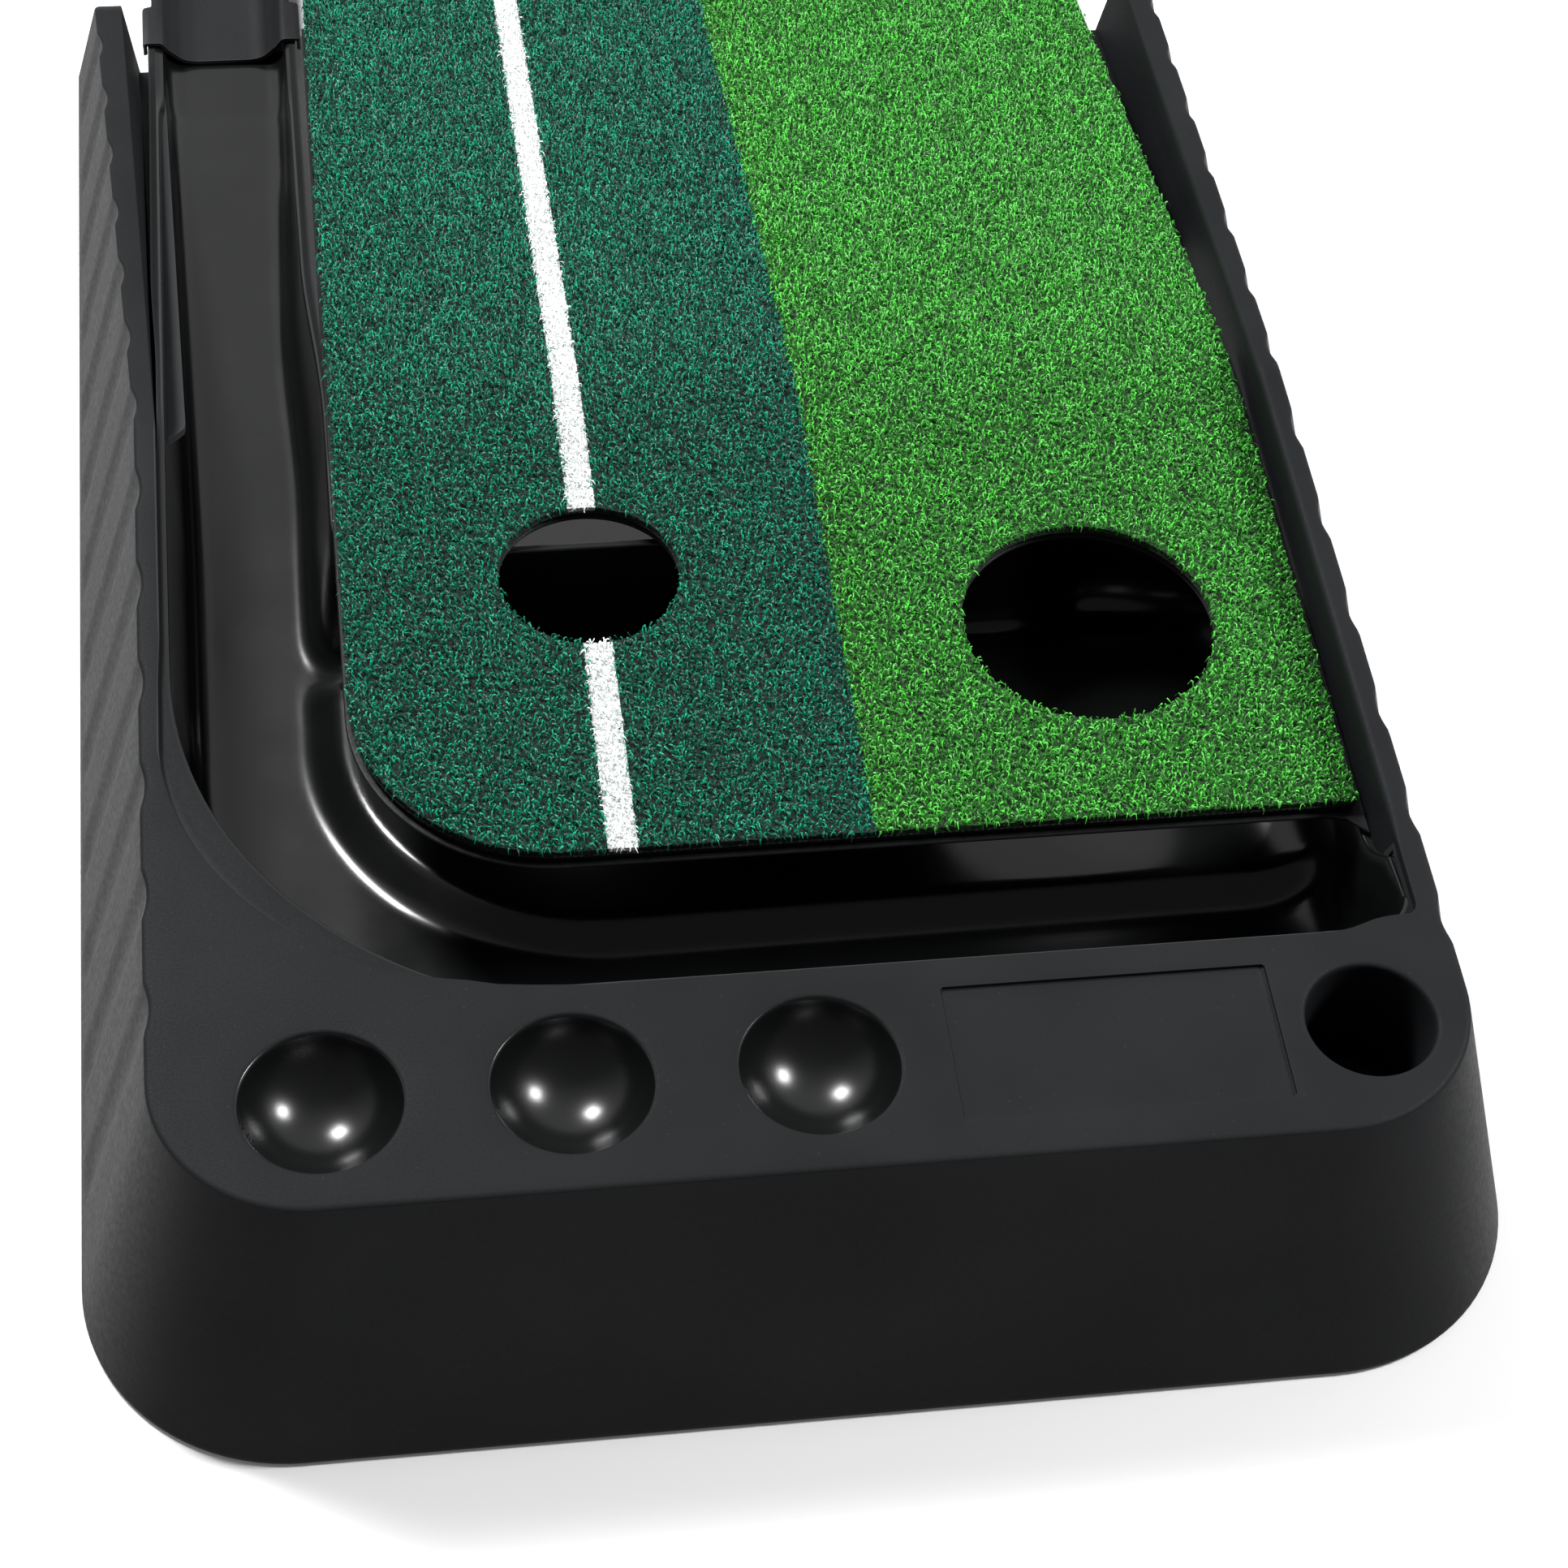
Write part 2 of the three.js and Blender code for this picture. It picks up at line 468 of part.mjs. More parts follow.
function lips(y0, y1) {
  const z = TRACK_FLOOR + TRACK_DEPTH;
  const lip = (side) => sweepY([[28.8, z], [28.8, z - 6], [30, z - 6], [30, z]]
    .map(([x, h]) => [GUTTER_X + side * x, h]), y0, y1);
  return [lip(1), lip(-1)];
}
function joggle(y) {
  const z = TRACK_FLOOR - 2;
  const t = TRACK_T;
  const low = [[-28.4, TRACK_DEPTH - t], [-24.2, TRACK_DEPTH - t], [-20.4, 3.2], [-13, -t], [13, -t],
    [20.4, 3.2], [24.2, TRACK_DEPTH - t], [28.4, TRACK_DEPTH - t]];
  const high = [[28.4, TRACK_DEPTH + 2], ...channelInside.map(([x, h]) => [x, h + 2]), [-28.4, TRACK_DEPTH + 2]];
  return sweepY([...low, ...high].map(([x, h]) => [GUTTER_X + x, z + h]), y, y + 3);
}
function footRib(y) {
  const z = TRACK_FLOOR - TRACK_T;
  return block(GUTTER_X - 11, GUTTER_X + 11, y, y + 3, 0, z + 0.4);
}
for (let i = 0; i < TRACK_COUNT; i += 1) {
  const near = TRACK_START + i * TRACK_PITCH;
  const shoulder = near + TRACK_PITCH - 2;
  const section = union(channel(near, near + TRACK_LAP, 0, 30), ...lips(near, near + TRACK_LAP),
    channel(near + TRACK_LAP - 1, shoulder - 2, 0, 26.5), joggle(shoulder - 3),
    channel(shoulder - 1, near + TRACK_PITCH + TRACK_LAP - 0.5, 2, 27.6, 0.8),
    footRib(near + 60), footRib(near + TRACK_PITCH - 60));
  add(`track_section_${i + 1}`, section, TRACK_BLACK);
}
const CUP_START = TRACK_START + TRACK_COUNT * TRACK_PITCH;
const CUP_LENGTH = 66;
const cupWall = sweepY([[-27, -TRACK_T], [27, -TRACK_T], [27, 24], [21, 30], [-21, 30], [-27, 24]]
  .map(([x, h]) => [GUTTER_X + x, TRACK_FLOOR + h]), CUP_START + CUP_LENGTH - 3, CUP_START + CUP_LENGTH);
const cup = union(channel(CUP_START, CUP_START + TRACK_LAP, 0, 30), ...lips(CUP_START, CUP_START + TRACK_LAP),
  channel(CUP_START + TRACK_LAP - 1, CUP_START + CUP_LENGTH - 1, 0, 26.5), cupWall, footRib(CUP_START + 40));
add('track_end_cup', cup, TRACK_BLACK);

// ---- rubber feet ----
FEET.forEach(([x, y], i) => add(`foot_${i + 1}`, post(x, y, 7, 0, 1.7, 20), RUBBER));

// ---- origin: middle of the whole footprint, on the floor ----
const farEnd = Math.max(MAT_END, CUP_START + CUP_LENGTH);
part.position.set(0, -(farEnd - FLARE_FRONT) / 2, 0);

export default part;
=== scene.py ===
# %% [markdown]
# # An indoor putting trainer
# A black moulded base carries a strip of artificial turf with two holes in it. A golf ball that drops
# through a hole lands in a glossy tray, rolls into a gutter and comes back along a track beside the mat.
# This lesson builds it piece by piece around the engineering model, which already fixes where everything
# is.

# %% Load the frame
import math

import bmesh
import bpy
import numpy as np
from mathutils import Matrix, Vector, geometry


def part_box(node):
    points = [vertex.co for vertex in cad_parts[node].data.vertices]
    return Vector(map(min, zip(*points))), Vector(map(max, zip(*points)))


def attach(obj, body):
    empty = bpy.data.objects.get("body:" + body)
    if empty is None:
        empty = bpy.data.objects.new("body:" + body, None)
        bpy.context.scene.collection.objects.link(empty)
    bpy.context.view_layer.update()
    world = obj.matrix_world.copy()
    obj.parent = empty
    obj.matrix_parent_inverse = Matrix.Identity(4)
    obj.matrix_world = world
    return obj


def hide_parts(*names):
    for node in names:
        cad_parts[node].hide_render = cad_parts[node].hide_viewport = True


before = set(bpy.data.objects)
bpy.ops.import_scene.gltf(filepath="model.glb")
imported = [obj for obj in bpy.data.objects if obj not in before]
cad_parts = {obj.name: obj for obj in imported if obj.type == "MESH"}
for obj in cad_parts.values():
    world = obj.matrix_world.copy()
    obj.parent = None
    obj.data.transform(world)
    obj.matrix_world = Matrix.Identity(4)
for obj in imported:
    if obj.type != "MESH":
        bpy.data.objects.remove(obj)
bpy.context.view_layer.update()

# %% [markdown]
# The base is described in millimetres, with y = 0 at the front edge of its rim and z = 0 on the floor. One
# function turns those numbers into the metres of the frame, and the rim's place comes from the engineering
# model itself.

# %% Millimetres on the base to metres in the frame
SKIRT_FLARE = 26.0  # the skirt leans out this far between the rim and the floor
RIM_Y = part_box("base_housing")[0].y + SKIRT_FLARE * 0.001


def metres(points):
    place = np.array(points, float) * 0.001
    place[..., 1] += RIM_Y
    return place


print("rim front edge at y =", round(RIM_Y, 4))

# %% [markdown]
# The camera looks down at the hole end from the golfer's far side. Its place and its three angles are
# plain numbers, so that the picture can be made again.

# %% Camera
YAW, PITCH, ROLL = math.radians(11.537), math.radians(51.434), math.radians(5.394)
EYE = (-124.68, -488.33, 888.20)
PICTURE = 1932.0
FOCAL = 4258.5  # in the picture's own units
MIDDLE = (971.56, 968.05)

forward = Vector((math.sin(YAW) * math.cos(PITCH), math.cos(YAW) * math.cos(PITCH), -math.sin(PITCH)))
level = Vector((math.cos(YAW), -math.sin(YAW), 0.0))
upright = level.cross(forward)
right = math.cos(ROLL) * level + math.sin(ROLL) * upright
up = -math.sin(ROLL) * level + math.cos(ROLL) * upright

camera_data = bpy.data.cameras.new("camera")
camera_data.sensor_width = 36.0
camera_data.lens = 36.0 * FOCAL / PICTURE
camera_data.shift_x = (PICTURE / 2 - MIDDLE[0]) / PICTURE
camera_data.shift_y = (MIDDLE[1] - PICTURE / 2) / PICTURE
camera_data.clip_end = 20.0
camera = bpy.data.objects.new("camera", camera_data)
bpy.context.scene.collection.objects.link(camera)
turn = Matrix((right, up, -forward)).transposed().to_4x4()
camera.matrix_world = Matrix.Translation(Vector(metres(EYE))) @ turn
bpy.context.scene.camera = camera
print("lens", round(camera_data.lens, 2), "mm")

# %% [markdown]
# Every material is made from nodes. Colours are written as sRGB hex values and turned to linear light by
# one function, and one function adds a node with its settings and links.

# %% Colour and node helpers
def linear(hex_colour):
    parts = [int(hex_colour[i:i + 2], 16) / 255 for i in (1, 3, 5)]
    return (*[c / 12.92 if c <= 0.04045 else ((c + 0.055) / 1.055) ** 2.4 for c in parts], 1.0)


def add_node(material, kind, settings=None, **inputs):
    node = material.node_tree.nodes.new("ShaderNode" + kind)
    for key, value in (settings or {}).items():
        setattr(node, key, value)
    for key, value in inputs.items():
        numbered = key[0] == "i" and key[1:].isdigit()
        socket = node.inputs[int(key[1:]) if numbered else key.replace("_", " ")]
        if isinstance(value, bpy.types.NodeSocket):
            material.node_tree.links.new(value, socket)
        else:
            socket.default_value = value
    return node


def new_material(name, roughness, ior, metallic=0.0):
    material = bpy.data.materials.new(name)
    material.use_nodes = True
    surface = material.node_tree.nodes["Principled BSDF"]
    surface.inputs["Roughness"].default_value = roughness
    surface.inputs["IOR"].default_value = ior
    surface.inputs["Metallic"].default_value = metallic
    return material, surface


def two_tones(material, surface, mix, dark, light):
    """Colours the surface between two sRGB colours by a mixing value."""
    blend = add_node(material, "Mix", {"data_type": "RGBA"}, i0=mix)
    blend.inputs[6].default_value = linear(dark)
    blend.inputs[7].default_value = linear(light)
    material.node_tree.links.new(blend.outputs[2], surface.inputs["Base Color"])


def relief(material, surface, height, depth_mm, strength=1.0):
    """Raises a fine surface texture of the given depth."""
    bump = add_node(material, "Bump", Height=height, Distance=depth_mm * 0.001, Strength=strength)
    material.node_tree.links.new(bump.outputs["Normal"], surface.inputs["Normal"])


def place_of(material):
    return add_node(material, "TexCoord").outputs["Object"]


# %% [markdown]
# Three small helpers make every moulded piece. A skin collects patches of surface, and welds them where
# they meet. A plan is filled with triangles between its outline and its holes, with extra points inside so
# that the shading stays even. An edge is rounded along a short curve between the two faces that it joins.

# %% Skins
WELD = 0.004 * 0.001  # patches are welded where their points lie this close, in metres


class Skin:
    def __init__(self):
        self.points, self.faces, self.finish = [], [], []

    def add(self, points, faces, finish=0):
        start = len(self.points)
        self.points.extend(np.asarray(points, float).reshape(-1, 3).tolist())
        self.faces.extend([[start + int(i) for i in face] for face in faces])
        self.finish.extend([finish] * len(faces))

    def strip(self, rows, closed=False, finish=0):
        """Joins rows of points; closed joins the last row to the first."""
        grid = np.asarray(rows, float)
        n, m = grid.shape[:2]
        faces = []
        for i in range(n if closed else n - 1):
            a, b = i * m, ((i + 1) % n) * m
            faces += [(a + j, a + j + 1, b + j + 1, b + j) for j in range(m - 1)]
        self.add(grid, faces, finish)

    def piece(self, name, materials, body, slot, replaces=(), thickness=0.0, smooth=38, outside=None):
        """Welds the patches, gives them thickness and makes the object that rides on a body."""
        mesh = bpy.data.meshes.new(name)
        mesh.from_pydata(metres(self.points).tolist(), [], self.faces)
        mesh.polygons.foreach_set("material_index", np.array(self.finish, np.int32))
        shape = bmesh.new()
        shape.from_mesh(mesh)
        bmesh.ops.remove_doubles(shape, verts=shape.verts, dist=WELD)
        bmesh.ops.dissolve_degenerate(shape, dist=WELD, edges=shape.edges)
        bmesh.ops.recalc_face_normals(shape, faces=shape.faces)
        if outside is not None:
            way = sum((f.normal * f.calc_area() for f in shape.faces), Vector())
            if way.dot(Vector(outside)) < 0:
                bmesh.ops.reverse_faces(shape, faces=shape.faces)
        if thickness:
            thicken(shape, thickness * 0.001)
        shape.to_mesh(mesh)
        shape.free()
        mesh.shade_smooth()
        mesh.set_sharp_from_angle(angle=math.radians(smooth))
        thing = bpy.data.objects.new(name, mesh)
        bpy.context.scene.collection.objects.link(thing)
        for material in materials:
            mesh.materials.append(material)
        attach(thing, body)
        if replaces:
            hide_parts(*replaces)
        print(f"{name}: {len(mesh.polygons)} faces")
        return thing


def thicken(shape, depth):
    """Closes an open skin into a moulding of even thickness, behind its faces."""
    shape.normal_update()
    old = list(shape.verts)
    faces = list(shape.faces)
    rim = [e for e in shape.edges if len(e.link_faces) == 1]
    twin = {v: shape.verts.new(v.co - v.normal * depth) for v in old}
    for f in faces:
        back = shape.faces.new([twin[v] for v in reversed(f.verts)])
        back.material_index = f.material_index
    for e in rim:
        loop = e.link_loops[0]
        a, b = loop.vert, loop.link_loop_next.vert
        side = shape.faces.new([b, a, twin[a], twin[b]])
        side.material_index = e.link_faces[0].material_index
    shape.normal_update()


# %% Plans and rounded edges
def inside(points, ring):
    x, y = points[:, 0], points[:, 1]
    hit = np.zeros(len(points), bool)
    for (x0, y0), (x1, y1) in zip(ring, np.roll(ring, -1, axis=0)):
        if y0 != y1:
            crosses = ((y0 > y) != (y1 > y)) & (x < (x1 - x0) * (y - y0) / (y1 - y0) + x0)
            hit ^= crosses
    return hit


def grid_inside(outline, holes, step_x, step_y, margin):
    low, high = outline.min(0), outline.max(0)
    xs = np.arange(low[0] + step_x / 2, high[0], step_x)
    ys = step_y if hasattr(step_y, "__len__") else np.arange(low[1] + step_y / 2, high[1], step_y)
    points = np.stack(np.meshgrid(xs, ys), -1).reshape(-1, 2)
    keep = inside(points, outline)
    for ring in holes:
        keep &= ~inside(points, ring)
    points = points[keep]
    for ring in (outline, *holes):
        a, b = ring, np.roll(ring, -1, axis=0)
        for p, q in zip(a, b):
            d = q - p
            along = np.clip(((points - p) @ d) / max(d @ d, 1e-9), 0, 1)
            points = points[np.hypot(*(points - p - along[:, None] * d).T) > margin]
    return points


def fill_plan(outline, holes=(), step=6.0, step_y=None, margin=None):
    """Triangles between an outline and its holes: plan points and triples."""
    outline, holes = np.asarray(outline, float), [np.asarray(h, float) for h in holes]
    extra = grid_inside(outline, holes, step, step if step_y is None else step_y, margin or step * 0.45)
    points, edges = [], []
    for ring in (outline, *holes):
        start, count = len(points), len(ring)
        points += [Vector(p) for p in ring]
        edges += [(start + i, start + (i + 1) % count) for i in range(count)]
    points += [Vector(p) for p in extra]
    made, _, faces, *_ = geometry.delaunay_2d_cdt(points, edges, [], 0, 1e-6)
    made = np.array([tuple(p) for p in made])
    faces = np.array([f for f in faces], int)
    middles = made[faces].mean(1)
    keep = inside(middles, outline)
    for ring in holes:
        keep &= ~inside(middles, ring)
    return made, faces[keep]


def rounded(corner, one, other, steps=4):
    """Points of a rounded edge from corner + one to corner + other; each may be an array of rows."""
    corner, one, other = (np.asarray(v, float) for v in (corner, one, other))
    t = np.linspace(0, 1, steps + 1).reshape(-1, *([1] * corner.ndim))
    return (1 - t) ** 2 * (corner + one) + 2 * t * (1 - t) * corner + t ** 2 * (corner + other)


def arc(cx, cy, r, start, end, steps):
    a = np.radians(np.linspace(start, end, steps + 1))
    return np.stack([cx + r * np.cos(a), cy + r * np.sin(a)], 1)


def ring(cx, cy, r, steps=96):
    return arc(cx, cy, r, 0, 360, steps)[:-1]


def ease(value, low, high):
    t = np.clip((np.asarray(value, float) - low) / (high - low), 0, 1)
    return t * t * (3 - 2 * t)


# %% [markdown]
# The base is ABS, injection moulded, with a fine spark-eroded texture in the tool that leaves its top
# matte, so it reflects less than smooth plastic does. The fluted sides have a coarser, shinier grain that
# lights up when they are seen at a low angle. Rubbed edges are a little lighter, and dust leaves pale
# specks. The grain on top is about a third of a millimetre across, which is a touch coarser than the real
# one so that it still shows.

# %% Textured ABS
SPECK_GAP_MM = 5.0
WORN = "#3c3d3f"


def textured_abs(name, dark, light, roughness, grain_mm, depth_mm, shine, specks=0.0):
    """Matte moulded ABS; shine is how strongly it reflects, specks how much its dust shows."""
    material, surface = new_material(name, roughness, 1.53)
    surface.inputs["Specular IOR Level"].default_value = shine
    where = place_of(material)
    cloud = add_node(material, "TexNoise", Vector=where, Scale=14.0, Detail=3.0)
    grain = add_node(material, "TexNoise", Vector=where, Scale=1000.0 / (grain_mm * 2.2), Detail=2.0,
                     Roughness=0.6)
    tone = add_node(material, "MapRange", Value=cloud.outputs["Fac"], From_Min=0.35, From_Max=0.65)
    two_tones(material, surface, tone.outputs["Result"], dark, light)
    plain = surface.inputs["Base Color"].links[0].from_socket
    bend = add_node(material, "NewGeometry").outputs["Pointiness"]
    rubbed = add_node(material, "MapRange", Value=bend, From_Min=0.52, From_Max=0.6, To_Max=0.6)
    dust = add_node(material, "TexVoronoi", Vector=where, Scale=1000.0 / SPECK_GAP_MM)
    mote = add_node(material, "MapRange", Value=dust.outputs["Distance"], From_Min=0.03, From_Max=0.09,
                    To_Min=specks, To_Max=0.0)
    marks = add_node(material, "Math", {"operation": "MAXIMUM"}, i0=rubbed.outputs["Result"],
                     i1=mote.outputs["Result"])
    blend = add_node(material, "Mix", {"data_type": "RGBA"}, i0=marks.outputs[0], i6=plain)
    blend.inputs[7].default_value = linear(WORN)
    material.node_tree.links.new(blend.outputs[2], surface.inputs["Base Color"])
    rough = add_node(material, "MapRange", Value=grain.outputs["Fac"], From_Min=0.3, From_Max=0.7,
                     To_Min=roughness - 0.07, To_Max=roughness + 0.07)
    material.node_tree.links.new(rough.outputs["Result"], surface.inputs["Roughness"])
    relief(material, surface, grain.outputs["Fac"], depth_mm)
    return material


housing_abs = textured_abs("textured ABS, base", "#17181a", "#1d1e20", 0.6, 0.34, 0.035, 0.085, specks=0.25)
side_abs = textured_abs("textured ABS, fluted sides", "#17181a", "#1c1d1f", 0.44, 0.9, 0.06, 0.5, specks=0.4)
rim_abs = textured_abs("textured ABS, tray rim", "#151617", "#1b1c1e", 0.58, 0.34, 0.03, 0.085)
deck_abs = textured_abs("smooth ABS, deck", "#101112", "#151617", 0.42, 0.6, 0.012, 0.12)
track_abs = textured_abs("satin ABS, track", "#151618", "#1b1c1e", 0.44, 0.5, 0.015, 0.15)

# %% [markdown]
# The dimples, the tray and the gutter come from polished parts of the tool. Polished ABS shows the lights
# as clear, slightly soft highlights. A very shallow waviness, a few centimetres across, is what stops it
# looking like glass.

# %% Polished ABS
def polished_abs(name, dark, light, roughness):
    material, surface = new_material(name, roughness, 1.53)
    where = place_of(material)
    smear = add_node(material, "TexNoise", Vector=where, Scale=26.0, Detail=4.0, Roughness=0.55)
    two_tones(material, surface, smear.outputs["Fac"], dark, light)
    rough = add_node(material, "MapRange", Value=smear.outputs["Fac"], From_Min=0.3, From_Max=0.75,
                     To_Min=roughness - 0.03, To_Max=roughness + 0.05)
    material.node_tree.links.new(rough.outputs["Result"], surface.inputs["Roughness"])
    fine = add_node(material, "TexNoise", Vector=where, Scale=900.0, Detail=1.0)
    relief(material, surface, fine.outputs["Fac"], 0.004)
    return material


tray_abs = polished_abs("polished ABS, tray", "#0c0d0d", "#101111", 0.2)
dimple_abs = polished_abs("polished ABS, dimples", "#0b0c0c", "#101111", 0.24)

# %% [markdown]
# ## The base housing
# The housing is one moulding: a flared skirt with upright flutes down both sides, a flat front deck, and
# side walls that fall away towards the golfer. Its shape follows a set of stations round the outside, each
# with its own section from the rounded rim down to the foot of the skirt, so the rim keeps its scalloped
# edge where the flutes reach it.

# %% Skirt
RIM_Z, RIM_HALF, FLOOR_HALF = 93.5, 186.0, 212.0
RIM_CORNER, FLOOR_CORNER = 45.0, 62.0
BASE_END, CREST_Y, WALL_FALL, FOOT_Z = 572.0, 294.0, 0.2104, 1.5
FLUTE_FIRST, FLUTE_PITCH, FLUTE_COUNT, FLUTE_DEPTH, FLUTE_HALF = 69.5, 39.5, 13, 1.5, 9.0
RIM_ROUND = 1.6


def wall_top(y):
    return RIM_Z - WALL_FALL * np.maximum(0.0, np.asarray(y, float) - CREST_Y)


def flute(y, z):
    """Depth of the side flutes; they run out just above the floor."""
    n = np.clip(np.round((y - FLUTE_FIRST) / FLUTE_PITCH), 0, FLUTE_COUNT - 1)
    off = np.abs(y - FLUTE_FIRST - n * FLUTE_PITCH) / FLUTE_HALF
    return FLUTE_DEPTH * np.clip(1 - off ** 2, 0, 1) ** 1.2 * ease(z, 5.0, 12.0)


SIDE_Y = np.arange(BASE_END, 60.0 - 1e-6, -2.0)
CORNER_STEPS, BLEND_STEPS, FRONT_STEPS = 22, 4, 40


def skirt_point(station, z):
    """Plan place of a station on the skirt at height z, as (x, y)."""
    t = (np.asarray(z, float) - FOOT_Z) / (RIM_Z - FOOT_Z)
    half = FLOOR_HALF + (RIM_HALF - FLOOR_HALF) * t
    front = -SKIRT_FLARE * (1 - t)
    r = FLOOR_CORNER + (RIM_CORNER - FLOOR_CORNER) * t
    kind, value = station
    side = -1.0 if kind.endswith("left") else 1.0
    if kind.startswith("side"):
        return side * (half - flute(value, z)), value + 0 * t
    if kind.startswith("blend"):
        return side * half, 60.0 + (front + r - 60.0) * value
    if kind.startswith("corner"):
        a = math.radians(value)
        return side * (half - r + r * math.cos(a)), front + r - r * math.sin(a)
    return (half - r) * value, front


stations = [("side left", y) for y in SIDE_Y]
stations += [("blend left", v) for v in np.linspace(0, 1, BLEND_STEPS + 1)[1:]]
stations += [("corner left", a) for a in np.linspace(0, 90, CORNER_STEPS + 1)[1:]]
stations += [("front", v) for v in np.linspace(-1, 1, FRONT_STEPS + 1)[1:-1]]
left_half = stations[:len(SIDE_Y) + BLEND_STEPS + CORNER_STEPS]
stations += [(k.replace("left", "right"), v) for k, v in reversed(left_half)]


def skirt_rows():
    """Sections of the skirt, from the flat rim round the edge and down to the floor."""
    rows = []
    for kind, value in stations:
        top = float(wall_top(value)) if kind.startswith("side") else RIM_Z
        zs = np.concatenate([[top - RIM_ROUND], np.linspace(top - RIM_ROUND, 15.0, 9)[1:],
                             [12, 9, 6.5, 4.5, 2.5, FOOT_Z]])
        down = np.stack([*skirt_point((kind, value), zs), zs], 1)
        edge = np.array([*skirt_point((kind, value), top), top], float)
        rows.append((edge, down))
    edges = np.array([e for e, _ in rows])
    downs = np.array([d for _, d in rows])
    along = np.gradient(edges[:, :2], axis=0)
    along /= np.linalg.norm(along, axis=1)[:, None]
    inward = np.stack([-along[:, 1], along[:, 0]], 1)
    one = np.zeros_like(edges)
    one[:, :2] = inward * RIM_ROUND
    one[:, 2] = wall_top(edges[:, 1] + one[:, 1]) - edges[:, 2]
    bend = rounded(edges, one, downs[:, 0] - edges, 4)
    return np.concatenate([bend.transpose(1, 0, 2), downs[:, 1:]], 1)


skirt = skirt_rows()
print("skirt:", skirt.shape[0], "sections of", skirt.shape[1], "points")

# %% [markdown]
# The opening in the top runs round the gutter, the front left sweep and the trough. Along the right its
# edge is softly rounded and the wall drops straight to the deck. Past the crest both walls lean outwards
# as they get lower.

# %% Opening and inner walls
OPEN_LEFT, OPEN_RIGHT, OPEN_FRONT = -179.5, 178.5, 67.0
FLANGE_Z = 90.3  # the tray's flange lies this high, under the deck's edge
# Each wall's foot: how far it drops below the flange, falls behind the crest and leans out.
RIGHT_DROP, RIGHT_FALL, RIGHT_SPLAY = 24.3, 60.0, 8.5
LEFT_DROP, LEFT_FALL, LEFT_SPLAY = 10.3, 77.5, 9.0
RIGHT_LEDGE, LEFT_LEDGE = -37.0, 9.0


def opening_stations():
    """Plan points round the opening from the left end to the right end."""
    far = np.arange(BASE_END, 210.0, -3.0)
    left = np.stack([OPEN_LEFT - 13.3 * np.clip((far - CREST_Y) / (BASE_END - CREST_Y), 0, 1), far], 1)
    sweep = arc(-83.6, 167.4, 97.0, 180, 262, 44)
    sweep = np.concatenate([[[OPEN_LEFT, 205]], [[-180.2, 188]], sweep[2:]])
    jog = [(-88, OPEN_FRONT + 2.1), (-80, OPEN_FRONT + 1.2), (-72, OPEN_FRONT + 0.5), (-65, OPEN_FRONT)]
    front = [(x, OPEN_FRONT) for x in np.linspace(-58, 152, 38)]
    front += [(155, 67.2), (158, 67.8), (160.5, 68.6), (163, 69.5), (165.5, 70.3), (168, 70.8), (171, 71.1)]
    corner = arc(OPEN_RIGHT - 4, 75.2, 4, 270, 360, 8)
    near = np.arange(78.0, BASE_END + 1e-6, 3.0)
    near = np.append(near[near < BASE_END - 1.5], BASE_END)
    lean = 14.0 * np.clip((near - CREST_Y) / (BASE_END - CREST_Y), 0, 1)
    wall = np.stack([OPEN_RIGHT + lean, near], 1)
    return np.concatenate([left, sweep, jog, front, corner, wall])


opening = opening_stations()
run = np.gradient(opening, axis=0)
run /= np.linalg.norm(run, axis=1)[:, None]
outward = np.stack([run[:, 1], -run[:, 0]], 1)  # into the moulding, away from the opening


def opening_rows():
    rows = []
    for (x, y), (nx, ny) in zip(opening, outward):
        top = float(wall_top(y))
        right = x > 0
        if abs(y - BASE_END) < 1e-6:
            nx, ny = (1.0 if right else -1.0), 0.0
        soft = 0.6 + 2.2 * float(ease(y, 92, 112)) if right else 0.6
        soft -= (soft - 0.8) * float(ease(y, 420, 572)) if right else 0.0
        past = max(0.0, (y - CREST_Y) / (BASE_END - CREST_Y))  # 0 at the crest, 1 at the open end
        if right:
            low = FLANGE_Z - RIGHT_DROP * float(ease(y, 99, 107)) - RIGHT_FALL * past
            foot = OPEN_RIGHT + RIGHT_SPLAY * past if x > 170 else x
            ledge = RIGHT_LEDGE * float(ease(y, 405, 432)) - 0.4 if x > 170 else 0.0
        else:
            low = FLANGE_Z - LEFT_DROP * float(ease(y, 284, CREST_Y)) - LEFT_FALL * past
            foot = OPEN_LEFT - LEFT_SPLAY * past if y > CREST_Y else x
            ledge = LEFT_LEDGE * float(ease(y, 296, 310))
        edge = np.array([x, y, top])
        back = np.array([nx * soft, ny * soft, 0.0])
        back[2] = float(wall_top(y + back[1])) - top
        size = min(soft, (top - low) * 0.4)
        way = np.array([foot - x, 0.0, low - top])
        bend = rounded(edge, back, way / np.linalg.norm(way) * size, 5)
        start = bend[-1]
        end = np.array([foot, y, low])
        wall = [start + (end - start) * t for t in np.linspace(0, 1, 9)[1:]]
        shelf = [end + np.array([ledge * t, 0, 0]) for t in (0.3, 0.65, 1.0)]
        rows.append([*bend, *wall, *(shelf if abs(ledge) > 0 else [end, end, end])])
    return np.array(rows)


walls = opening_rows()
print("opening:", walls.shape[0], "sections")

# %% [markdown]
# The deck carries three dimples that hold balls, a shallow blank panel and a deep round hole. Each is a
# turned or sunken shape whose mouth is rounded over, and the flat top is filled in between all those
# mouths.

